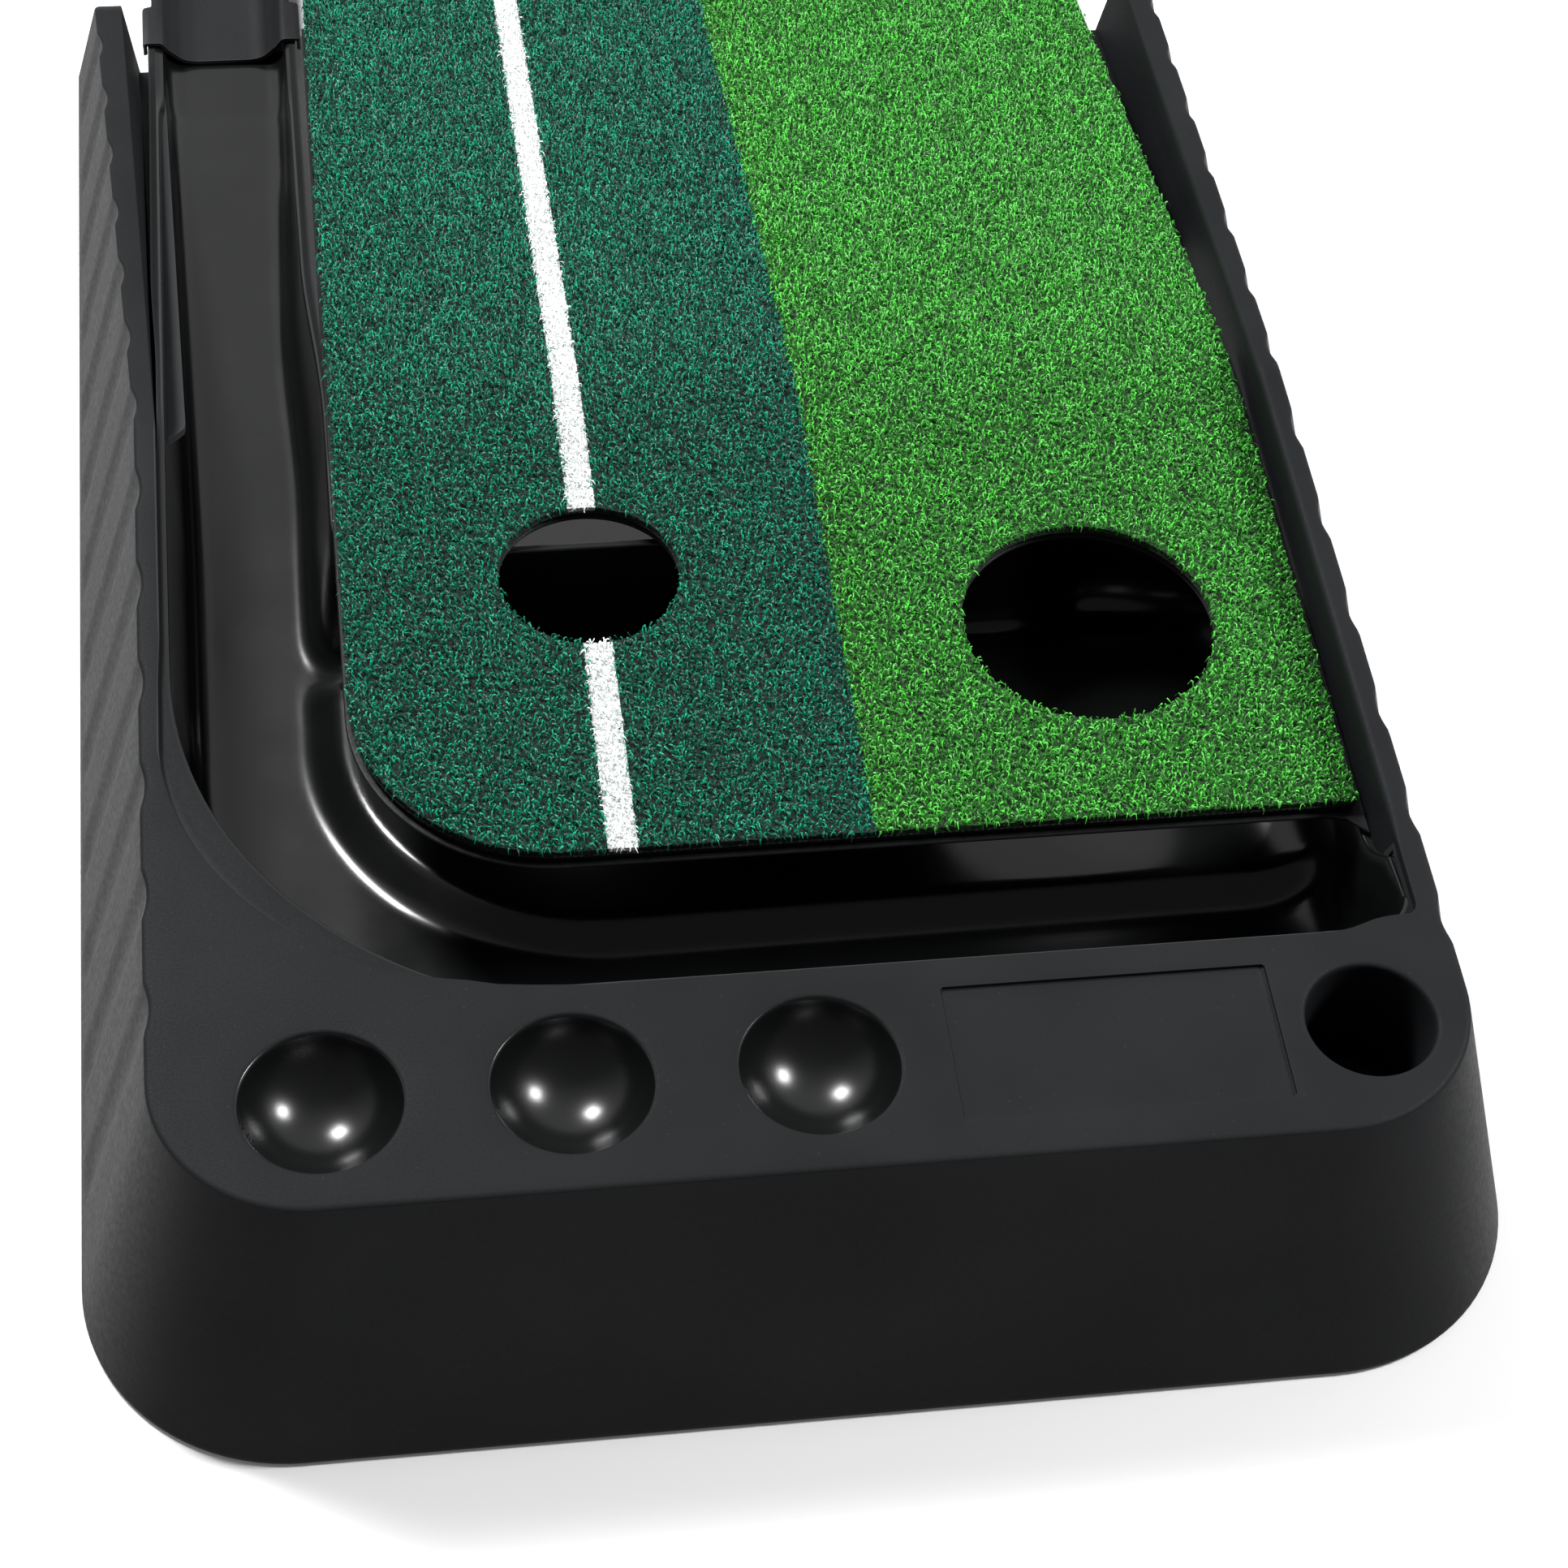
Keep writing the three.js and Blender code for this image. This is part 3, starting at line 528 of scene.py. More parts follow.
# %% Deck top with its dimples, panel and hole
BALL_CUPS, BALL_CUP_Y, BALL_CUP_R, BALL_CUP_DEPTH = (-139.0, -70.3, -1.6), 34.3, 22.6, 17.0
ROUND_HOLE = {"x": 156.0, "y": 35.7, "r": 18.6, "depth": 48.0}
PANEL = {"x0": 35.4, "x1": 129.4, "y0": 12.4, "y1": 57.0, "depth": 1.2}
MATTE, SHINE, SIDES = 0, 1, 2


def turned(profile, cx, cy, steps=96):
    """Rows of a turned shape from (radius, height) pairs."""
    a = np.linspace(0, 2 * math.pi, steps + 1)[:-1]
    return np.array([[(cx + r * math.cos(t), cy + r * math.sin(t), z) for r, z in profile] for t in a])


def round_profile(corner, one, other, steps=5):
    return [tuple(p) for p in rounded(corner, one, other, steps)]


def panel_ring(grow):
    p, r = PANEL, 1.2 + grow
    corners = [(p["x1"] - 1.2, p["y1"] - 1.2, 0), (p["x0"] + 1.2, p["y1"] - 1.2, 90),
               (p["x0"] + 1.2, p["y0"] + 1.2, 180), (p["x1"] - 1.2, p["y0"] + 1.2, 270)]
    return np.concatenate([arc(x, y, r, a, a + 90, 5) for x, y, a in corners])


housing = Skin()
housing.strip(skirt[:, :4], finish=MATTE)
housing.strip(skirt[:, 3:], finish=SIDES)
housing.strip(walls, finish=MATTE)

mouths = []
for cup_x in BALL_CUPS:
    ball_r = (BALL_CUP_R ** 2 + BALL_CUP_DEPTH ** 2) / (2 * BALL_CUP_DEPTH)
    steep = math.asin(BALL_CUP_R / ball_r)
    wall_way = (-math.cos(steep), -math.sin(steep))
    lip = round_profile((BALL_CUP_R, RIM_Z), (1.3, 0), (wall_way[0] * 1.6, wall_way[1] * 1.6))
    low_a = steep - 1.6 / ball_r
    bowl = [(ball_r * math.sin(a), RIM_Z - BALL_CUP_DEPTH + ball_r - ball_r * math.cos(a))
            for a in np.linspace(low_a, 0.02, 22)[1:]]
    lip[-1] = (ball_r * math.sin(low_a), RIM_Z - BALL_CUP_DEPTH + ball_r - ball_r * math.cos(low_a))
    housing.strip(turned(lip[:3], cup_x, BALL_CUP_Y), closed=True, finish=MATTE)
    housing.strip(turned(lip[2:] + bowl, cup_x, BALL_CUP_Y), closed=True, finish=SHINE)
    tip = turned([bowl[-1]], cup_x, BALL_CUP_Y)[:, 0]
    housing.add(tip, [list(range(len(tip)))], SHINE)
    mouths.append(ring(cup_x, BALL_CUP_Y, BALL_CUP_R + 1.3))

hole = ROUND_HOLE
sink = round_profile((hole["r"], RIM_Z), (2.0, 0), (0, -2.2))
sink += [(hole["r"] - 0.012 * d, RIM_Z - d) for d in np.linspace(6, hole["depth"] - 4, 8)]
sink += [(hole["r"] - 0.6 - 3 * (1 - math.cos(a)), RIM_Z - hole["depth"] + 3 - 3 * math.sin(a))
         for a in np.linspace(0.3, math.pi / 2, 6)]
sink += [(9, RIM_Z - hole["depth"]), (3, RIM_Z - hole["depth"])]
housing.strip(turned(sink, hole["x"], hole["y"]), closed=True, finish=MATTE)
base_ring = turned([sink[-1]], hole["x"], hole["y"])[:, 0]
housing.add(base_ring, [list(range(len(base_ring)))], MATTE)
mouths.append(ring(hole["x"], hole["y"], hole["r"] + 2.0))

panel_edge = [(0.35, 0.0), (0.1, -0.08), (0.0, -0.35), (0.0, -0.8), (-0.12, -PANEL["depth"] + 0.1),
              (-0.45, -PANEL["depth"])]
panel_rows = np.stack([np.column_stack([panel_ring(g), np.full(24, RIM_Z + z)]) for g, z in panel_edge], 1)
housing.strip(panel_rows, closed=True, finish=MATTE)
bed, bed_faces = fill_plan(panel_ring(-0.45), step=7)
housing.add(np.column_stack([bed, np.full(len(bed), RIM_Z - PANEL["depth"])]), bed_faces, MATTE)
mouths.append(panel_ring(0.35))

top_outline = np.concatenate([skirt[:, 0, :2], walls[::-1, 0, :2]])
top, top_faces = fill_plan(top_outline, mouths, step=7)
housing.add(np.column_stack([top, wall_top(top[:, 1])]), top_faces, MATTE)

for end in (0, -1):  # the walls' upright end faces
    section = np.concatenate([skirt[end], walls[end][::-1]])[:, [0, 2]]
    keep = np.append(True, np.hypot(*np.diff(section, axis=0).T) > 0.02)
    face, face_faces = fill_plan(section[keep], step=9)
    housing.add(np.column_stack([face[:, 0], np.full(len(face), BASE_END), face[:, 1]]), face_faces, MATTE)

housing.piece("base_shell", [housing_abs, dimple_abs, side_abs], "base", "matte_black",
              replaces=["base_housing"], thickness=2.2, outside=(0, 0, 1))

# %% [markdown]
# ## The ball tray
# The tray is a second moulding that drops in under the front deck: a trough in front of the mat, a basin
# below the two holes and a gutter down the left. The basin's floor stands a step higher than the trough
# and the gutter, with a soft foot that catches a long thin highlight. The walls meet the floor in deep
# coves, so a ball always rolls on. The rim's path is drawn first, and every station on it gets a section:
# flat lip, rounded edge, wall, cove.

# %% Rim path of the tray
GUTTER_X, GUTTER_END_Z, GUTTER_FLAT, GUTTER_END = -156.6, 2.4, 545.0, 597.0
TRAY_RIM, TRAY_FALL = 90.2, 0.0613
BASIN_Z, BASIN_Y, BASIN_LEAN, TROUGH_SUNK = 26.0, 160.0, 0.012, 4.0
STEP_HEIGHT = 8.0  # the floor under the holes is higher than the trough and the gutter by this
STEP_X, STEP_Y, STEP_R = -45.6, 215.4, 96.0  # centre and radius of the step's front left corner


def tray_floor(x, y):
    x, y = np.asarray(x, float), np.asarray(y, float)
    lean = BASIN_LEAN * (x - GUTTER_X) * (1 - ease(y, 262, 330))
    # How far in from the foot of the step.
    inset = STEP_R - np.hypot(np.maximum(STEP_X - x, 0), np.maximum(STEP_Y - y, 0))
    foot, side, brow = np.clip(inset, 0, 6), np.clip(inset - 6, 0, 7), np.clip(inset - 13, 0, 3)
    raised = (foot ** 2 / 12 + side + brow - brow ** 2 / 6) / 11.5 * (1 - ease(y, 232, 256))
    sunk = TROUGH_SUNK * (1 - ease(y, 225, 330))
    return np.maximum(GUTTER_END_Z, BASIN_Z - sunk + STEP_HEIGHT * raised + lean - TRAY_FALL * (y - BASIN_Y))


def rim_path():
    """Stations along the rim: x, y, cove radius, wall lean, rim height."""
    out = []

    def put(points, coves, leans, rims):
        share = np.linspace(0, 1, len(points))
        ends = [np.interp(share, [0, 1], pair) for pair in (coves, leans, rims)]
        out.extend((x, y, *rest) for (x, y), *rest in zip(points, *ends))

    gutter_y = np.arange(GUTTER_END, 264.0, -3.0)
    share = np.clip((gutter_y - 300) / (GUTTER_FLAT - 300), 0, 1)
    edge = 72.2 + (GUTTER_END_Z + 9.5 - 72.2) * share
    tuck = 4.2 * (1 - ease(gutter_y, 320, 420))
    for x, y, s, z in zip(tuck - 131 - 1.4 * share, gutter_y, share, edge):
        out.append((x, y, 8 + 1.5 * s, 6.0 * (1 - s) + 0.6 * s, z))
    put(arc(-114.8, 262, 12, 180, 270, 12), (8, 14), (6.0, 1.0), (72.2, 72.2))
    put([(x, 250) for x in np.arange(-108, 96, 6.0)], (14, 14), (1.0, 1.0), (72.2, 72.2))
    put([(100, 251), (106, 254), (112, 259)], (14, 14), (1.0, 1.0), (72.2, 72.2))
    put(arc(116, 202, 60, 90, 0, 24), (14, 25), (1.0, 1.0), (72.2, 72.2))
    put([(176.2, y) for y in np.arange(197, 108, -4.0)], (25, 25), (1.0, 1.0), (72.2, 72.2))
    put([(176.8, 104), (177.2, 101), (177.4, 98)], (25, 25), (1.0, 1.0), (74, TRAY_RIM))
    put(arc(151.4, 95.5, 26, 0, -90, 22), (25, 26), (1.0, 1.0), (TRAY_RIM, TRAY_RIM))
    put([(x, 69.5) for x in np.arange(146, 60, -5.0)], (26, 36), (1.0, 1.0), (TRAY_RIM, TRAY_RIM))
    put([(x, 69.5) for x in np.arange(60, -88, -5.0)], (36, 38), (1.0, 1.0), (TRAY_RIM, TRAY_RIM))
    sweep = arc(-45.8, 192, 131, 248, 180, 40)
    put(sweep, (38, 9), (1.0, 1.6), (TRAY_RIM, TRAY_RIM))
    put([(-176.8, y) for y in np.arange(198, 300, 4.0)], (8, 8), (1.8, 2.2), (TRAY_RIM, TRAY_RIM))
    far_y = np.append(np.arange(303, GUTTER_END - 1, 3.0), GUTTER_END)
    share = np.clip((far_y - 300) / (GUTTER_FLAT - 300), 0, 1)
    for y, s in zip(far_y, share):
        rim = TRAY_RIM + (GUTTER_END_Z + 9.5 - TRAY_RIM) * s
        out.append((-176.8 - 4.2 * s, y, 8 + 1.5 * s, 2.2 - 0.4 * s, rim))
    return np.array(out)


def smoothed(values, reach):
    """A moving average that leaves both ends alone."""
    padded = np.pad(values, ((reach, reach), (0, 0)), "edge")
    kernel = np.hanning(2 * reach + 3)[1:-1]
    kernel /= kernel.sum()
    return np.stack([np.convolve(padded[:, k], kernel, "valid") for k in range(values.shape[1])], 1)


path = rim_path()
steps = np.append(0, np.cumsum(np.hypot(*np.diff(path[:, :2], axis=0).T)))
even = np.arange(0, steps[-1], 2.5)
even = np.append(even[even < steps[-1] - 1], steps[-1])
path = np.stack([np.interp(even, steps, path[:, k]) for k in range(5)], 1)
soft = smoothed(path, 5)
soft[:6], soft[-6:] = path[:6], path[-6:]
path = soft
print("tray rim:", len(path), "stations,", round(steps[-1]), "mm round")

# %% Sections of the tray
direction = np.gradient(path[:, :2], axis=0)
direction /= np.linalg.norm(direction, axis=1)[:, None]
away = np.stack([-direction[:, 1], direction[:, 0]], 1)  # out of the tray, into the wall
away[0], away[-1] = (1, 0), (-1, 0)
FLANGE = np.concatenate([[(182, 262), (182, 63.5)], arc(-83.6, 167.4, 99, 270, 180, 40),
                         [(-182.6, 205), (-182.6, 288)]])


def reach_to_flange(x, y, nx, ny):
    """How far the lip goes out before it meets the flange's outer edge."""
    best = 60.0
    for (ax, ay), (bx, by) in zip(FLANGE[:-1], FLANGE[1:]):
        ex, ey = bx - ax, by - ay
        det = nx * -ey + ny * ex
        if abs(det) < 1e-9:
            continue
        rx, ry = ax - x, ay - y
        s = (rx * -ey + ry * ex) / det
        t = (nx * ry - ny * rx) / det
        if s > 0.2 and -1e-6 <= t <= 1 + 1e-6:
            best = min(best, s)
    return best


TIGHT = {"x": 151.4, "y": 95.5, "r": 26.0, "rim_r": 13.0}  # the front right corner is tighter at the rim
lips, sections = [], []
for (x, y, cove, lean, rim), (nx, ny) in zip(path, away):
    floor = float(tray_floor(x - nx * 8, y - ny * 8))
    n3 = np.array([nx, ny, 0.0])
    wall_foot = np.array([x, y, rim]) - n3 * lean
    if x > TIGHT["x"] and y < TIGHT["y"]:
        out = TIGHT["r"] - TIGHT["rim_r"]
        x, y = TIGHT["x"] + out + TIGHT["rim_r"] * nx, TIGHT["y"] - out + TIGHT["rim_r"] * ny
    if rim > 85 and (y < 284 or x > 0):
        lip = min(reach_to_flange(x, y, nx, ny), 26.0)
        lip = min(lip, 5.0) if y > 250 else lip
    else:
        lip = 2.4 + 1.4 * float(ease(y, 330, 400))
    size = min(1.2, lip * 0.4)
    corner = np.array([x, y, rim])
    cove = min(cove, rim - floor - 1.4)
    wall_foot[2] = floor + cove
    down = (wall_foot - corner) / np.linalg.norm(wall_foot - corner)
    bend = rounded(corner, n3 * size, down * size, 4)
    lips.append([corner + n3 * (size + (lip - size) * t) for t in (1.0, 0.6, 0.3, 0.0)])
    wall = [bend[-1] + (wall_foot - bend[-1]) * t for t in np.linspace(0, 1, 6)[1:]]
    turn = np.linspace(0, math.pi / 2, 13)[1:]
    bowl = [wall_foot - n3 * cove * (1 - math.cos(a)) - np.array([0, 0, cove * math.sin(a)]) for a in turn]
    for k, p in enumerate(bowl):  # the floor is not level, so the cove follows it
        p[2] += (float(tray_floor(p[0], p[1])) - floor) * (k + 1) / len(bowl)
    sections.append([*bend, *wall, *bowl])
lips, sections = np.array(lips), np.array(sections)

tray = Skin()
tray.strip(lips, finish=1)
tray.strip(sections, finish=0)
floor_outline = sections[:, -1, :2]
bed, bed_faces = fill_plan(floor_outline, step=2.0)
tray.add(np.column_stack([bed, tray_floor(bed[:, 0], bed[:, 1])]), bed_faces, 0)
tray.piece("tray_moulding", [tray_abs, rim_abs], "base", "gloss_black", replaces=["ball_tray"],
           thickness=1.6, outside=(0, 0, 1), smooth=50)

# %% [markdown]
# ## The mat deck
# A satin plate carries the mat: level around the holes, then a ramp that falls one in five to the floor.

# %% Deck plate
DECK_Z, DECK_FALL, RAMP_FROM, RAMP_TO = 75.0, 0.21, 296.0, 336.0
SMALL_HOLE, LARGE_HOLE = (-47.3, 232.2, 28.3), (106.5, 201.0, 39.7)


def deck_top(y):
    y = np.asarray(y, float)
    bend = RAMP_TO - RAMP_FROM
    curve = DECK_Z - DECK_FALL * np.clip(y - RAMP_FROM, 0, bend) ** 2 / (2 * bend)
    return curve - DECK_FALL * np.maximum(0, y - RAMP_TO)


def panel_skin(skin, outline, holes, height, edge, step, step_y=None, finish=0):
    """A sheet over a plan at height(x, y), its outline and holes rounded down by edge."""
    rims = []
    for index, loop in enumerate([outline, *holes]):
        loop = np.asarray(loop, float)
        way = np.roll(loop, -1, axis=0) - np.roll(loop, 1, axis=0)
        way /= np.linalg.norm(way, axis=1)[:, None]
        out = np.stack([way[:, 1], -way[:, 0]], 1) * (1 if index == 0 else -1)
        area = np.sum(loop[:, 0] * np.roll(loop[:, 1], -1) - np.roll(loop[:, 0], -1) * loop[:, 1])
        out *= 1 if area > 0 else -1
        inner = loop - out * edge
        corner = np.column_stack([loop, height(loop)])
        one = np.column_stack([inner, height(inner)]) - corner
        bend = rounded(corner, one, np.tile([0, 0, -edge], (len(loop), 1)), 3)
        skin.strip(bend.transpose(1, 0, 2), closed=True, finish=finish)
        rims.append(inner)
    plan, faces = fill_plan(rims[0], rims[1:], step=step, step_y=step_y)
    skin.add(np.column_stack([plan, height(plan)]), faces, finish)


def dense(points, step):
    """Adds points along a closed outline so that none are further apart than step."""
    points = np.asarray(points, float)
    out = []
    for p, q in zip(points, np.roll(points, -1, axis=0)):
        n = max(1, int(math.ceil(np.hypot(*(q - p)) / step)))
        out += [p + (q - p) * i / n for i in range(n)]
    return np.array(out)


deck_outline = np.concatenate([[(-126, BASE_END)], arc(-64, 184, 62, 180, 270, 24),
                               [(166, 122), (172, 120.6), (178.1, 115)],
                               [(178.1, 318), (175, 330), (175, BASE_END)]])
deck = Skin()
panel_skin(deck, dense(deck_outline, 6), [ring(x, y, r + 0.6) for x, y, r in (SMALL_HOLE, LARGE_HOLE)],
           lambda p: deck_top(p[:, 1]), 0.7, 10)
lip_x = np.arange(-126, 175.1, 6.02)
lip_z = np.linspace(float(deck_top(BASE_END)) - 0.7, 8.5, 4)
deck.strip([[(x, BASE_END, z) for z in lip_z] for x in lip_x])
deck.piece("deck_plate", [deck_abs], "base", "deck_black", replaces=["mat_deck"], thickness=2.2,
           outside=(0, 0, 1))

# %% [markdown]
# ## Steel screws and rubber feet
# The screws and feet keep the shapes of the engineering model, which are simple turned parts. They get
# their finishes here and a small bevel where fingers would feel an edge.

# %% Zinc-plated steel and rubber
zinc, surface = new_material("zinc-plated steel, screws", 0.34, 1.5, metallic=1.0)
lathe_marks = add_node(zinc, "TexNoise", Vector=place_of(zinc), Scale=1400.0, Detail=3.0)
two_tones(zinc, surface, lathe_marks.outputs["Fac"], "#a2a5a8", "#c4c6c7")
relief(zinc, surface, lathe_marks.outputs["Fac"], 0.01)

foot_rubber, surface = new_material("moulded rubber, feet", 0.82, 1.52)
crumb = add_node(foot_rubber, "TexNoise", Vector=place_of(foot_rubber), Scale=900.0, Detail=4.0)
two_tones(foot_rubber, surface, crumb.outputs["Fac"], "#101010", "#1c1c1b")
relief(foot_rubber, surface, crumb.outputs["Fac"], 0.05)

for name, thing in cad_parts.items():
    if name.startswith(("deck_screw", "foot")):
        thing.data.materials.clear()
        thing.data.materials.append(zinc if name.startswith("deck") else foot_rubber)
        bevel = thing.modifiers.new("edge", "BEVEL")
        bevel.width, bevel.segments, bevel.limit_method = 0.00025, 2, "ANGLE"

# %% [markdown]
# ## The mat
# The mat is tufted polypropylene on a black woven backing. It lies on the deck, runs down the ramp and
# bridges the step at its end before it lies on the floor. One function puts any point of the flat mat in
# its place.

# %% Where the mat lies
MAT_LEFT, MAT_RIGHT, MAT_FRONT, MAT_END, MAT_CORNER, MAT_LANDS = -124.8, 175.2, 123.5, 2614.6, 62.0, 752.0
BACKING_T, PILE, LINE_HALF, TONES_X, LAY_GAP = 2.5, 4.0, 4.5, 27.9, 0.3


def mat_under(y):
    y = np.asarray(y, float)
    t = np.clip((y - BASE_END) / (MAT_LANDS - BASE_END), 0, 1)
    start, tangent = float(deck_top(BASE_END)), -DECK_FALL * (MAT_LANDS - BASE_END)
    bridge = start * (2 * t ** 3 - 3 * t ** 2 + 1) + tangent * (t ** 3 - 2 * t ** 2 + t)
    return LAY_GAP + np.where(y <= BASE_END, deck_top(y), bridge)


def on_mat(x, y, h):
    """A point h above the mat's underside."""
    slope = (mat_under(y + 1.0) - mat_under(y - 1.0)) / 2.0
    n = np.sqrt(1 + slope ** 2)
    return np.stack([x, y - h * slope / n, mat_under(y) + h / n], -1)


def mat_rows(y0, y1):
    near = np.arange(y0, min(y1, 770.0), 6.0)
    return np.concatenate([near, np.arange(780.0, y1 - 10, 30.0)]) if y1 > 780 else near


backing, surface = new_material("woven backing, polypropylene", 0.9, 1.49)
where = place_of(backing)
warp, weft = (add_node(backing, "TexWave", {"wave_type": "BANDS", "bands_direction": way}, Vector=where,
                       Scale=160.0, Distortion=0.6, Detail=1.0) for way in "XY")
both = add_node(backing, "Math", {"operation": "MAXIMUM"}, i0=warp.outputs["Fac"], i1=weft.outputs["Fac"])
two_tones(backing, surface, both.outputs[0], "#070808", "#191a1a")
relief(backing, surface, both.outputs[0], 0.25)

mat_bend = arc(MAT_LEFT + MAT_CORNER, MAT_FRONT + MAT_CORNER, MAT_CORNER, 180, 270, 24)
mat_outline = dense([*mat_bend, (MAT_RIGHT, MAT_FRONT), (MAT_RIGHT, MAT_END), (MAT_LEFT, MAT_END)], 6)
sheet_skin = Skin()
panel_skin(sheet_skin, mat_outline, [ring(*SMALL_HOLE), ring(*LARGE_HOLE)],
           lambda p: on_mat(p[:, 0], p[:, 1], BACKING_T)[:, 2], 0.4, 12,
           mat_rows(MAT_FRONT + 4, MAT_END - 4))
mat = sheet_skin.piece("mat_sheet", [backing], "mat", "backing", thickness=2.3, outside=(0, 0, 1),
                       replaces=["mat_backing_deck", "mat_backing_ramp", "mat_backing_run"])

# %% [markdown]
# ## The turf
# Each strip is a low bed, coloured darker than its ribbons as painted shade for the gaps deep in the pile, with
# thousands
# of thin ribbons standing in it: slit tape, crimped so that every end curls its own way. The ribbons are real
# geometry, so the line and the holes get their ragged edges from them.

# %% Turf colours, with painted highlights and painted shade
def turf_tape(name, dark, light, roughness):
    """Slit polypropylene tape: each ribbon has its own random tone; a few are painted bright as painted
    highlights, and the dark end is deepened as painted shade.
    """
    material, surface = new_material(name, roughness, 1.49)
    surface.inputs["Specular IOR Level"].default_value = 0.3
    own = add_node(material, "NewGeometry").outputs["Random Per Island"]
    patch = add_node(material, "TexNoise", Vector=place_of(material), Scale=90.0, Detail=3.0)
    # The power curve keeps most ribbons near the dark colour, painted shade for the gaps in the pile, and
    # paints a few bright as painted highlights.
    tone_and_painted_glints = add_node(material, "Math", {"operation": "POWER"}, i0=own, i1=1.8)
    mixed = add_node(material, "Math", {"operation": "MULTIPLY"}, i0=tone_and_painted_glints.outputs[0], i1=0.88)
    shade = add_node(material, "Math", {"operation": "MULTIPLY_ADD"}, i0=patch.outputs["Fac"], i1=0.28,
                     i2=mixed.outputs[0])
    two_tones(material, surface, shade.outputs[0], dark, light)
    return material


# A bed's colours are darker than its tape's: painted shade for the shadow between the ribbons.
def turf_bed_with_painted_shade(name, dark, light):
    material, surface = new_material(name, 0.85, 1.49)
    curl = add_node(material, "TexNoise", Vector=place_of(material), Scale=520.0, Detail=3.0,
                    Distortion=1.2)
    tone = add_node(material, "MapRange", Value=curl.outputs["Fac"], From_Min=0.42, From_Max=0.68)
    two_tones(material, surface, tone.outputs["Result"], dark, light)
    relief(material, surface, curl.outputs["Fac"], 1.2)
    return material


dark_tape = turf_tape("dark green tape", "#00130d", "#04a47e", 0.36)
light_tape = turf_tape("light green tape", "#083806", "#62e650", 0.36)
white_tape = turf_tape("white tape", "#f2f6f4", "#ffffff", 0.5)
# Painted shade: each bed is darker than its tape, for the shadow deep in the pile.
dark_bed_painted_shade = turf_bed_with_painted_shade("dark green pile, painted shade", "#010a07", "#0a3a2c")
light_bed_painted_shade = turf_bed_with_painted_shade("light green pile, painted shade", "#061e05", "#2c7423")
white_bed_painted_shade = turf_bed_with_painted_shade("white pile, painted shade", "#c4cac7", "#fbfdfc")

# %% Turf beds
rng = np.random.default_rng(20)
BED_H, TOP_H = 4.3, BACKING_T + PILE
corner_cut = (MAT_LEFT + MAT_CORNER, MAT_FRONT + MAT_CORNER)


def off_the_turf(x, y, grow=0.0):
    """True where there is no turf: in the holes and outside the rounded corner."""
    gone = np.zeros(len(x), bool)
    for hx, hy, hr in (SMALL_HOLE, LARGE_HOLE):
        gone |= np.hypot(x - hx, y - hy) < hr + grow
    in_corner = (x < corner_cut[0]) & (y < corner_cut[1])
    gone |= in_corner & (np.hypot(x - corner_cut[0], y - corner_cut[1]) > MAT_CORNER - grow)
    return gone


def strip_outline(x0, x1, y0, y1):
    """Plan of a strip, cut back round the mat's corner."""
    cx, cy = corner_cut
    low = []
    for x in np.linspace(x0, x1, max(3, int((x1 - x0) / 2))):
        edge = cy - math.sqrt(max(0.0, MAT_CORNER ** 2 - (x - cx) ** 2)) if x < cx and y0 < cy else y0
        low.append((x, edge + 0.5))
    return dense(np.concatenate([low, [(x1, y1), (x0, y1)]]), 6)


def hole_rings(x0, x1):
    return [(hx, hy, hr) for hx, hy, hr in (SMALL_HOLE, LARGE_HOLE) if hx - hr < x1 and hx + hr > x0]


# %% [markdown]
# The small hole lies across two strips and the white line. Its circle is drawn through each of their
# plans, and only the triangles outside it are kept, so every bed ends on the same clean cut.

# %% Building a strip of turf
def bed_skin(x0, x1, y0, y1):
    bed_strip = Skin()
    outline = strip_outline(x0, x1, y0, y1)
    whole = [ring(hx, hy, hr + 0.3, steps=72) for hx, hy, hr in hole_rings(x0, x1)]
    plan, faces = fill_plan(outline, whole, step=5, step_y=mat_rows(y0 + 3, y1 - 3))
    lumps = 0.35 * np.sin(plan[:, 0] * 1.9 + 3 * np.sin(plan[:, 1] * 0.37)) * np.sin(plan[:, 1] * 1.3)
    bed_strip.add(on_mat(plan[:, 0], plan[:, 1], BED_H + lumps), faces, 0)
    return bed_strip


def sow(x0, x1, y0, y1, pitch):
    """Ribbon roots on an uneven grid, none in a hole."""
    xs, ys = np.meshgrid(np.arange(x0 + pitch / 2, x1, pitch), np.arange(y0 + pitch / 2, y1, pitch))
    x = xs.ravel() + rng.uniform(-0.55, 0.55, xs.size) * pitch
    y = ys.ravel() + rng.uniform(-0.55, 0.55, xs.size) * pitch
    x, y = np.clip(x, x0 + 0.1, x1 - 0.1), np.maximum(y, y0 + 0.1)
    keep = ~off_the_turf(x, y, 0.1)
    return x[keep], y[keep]


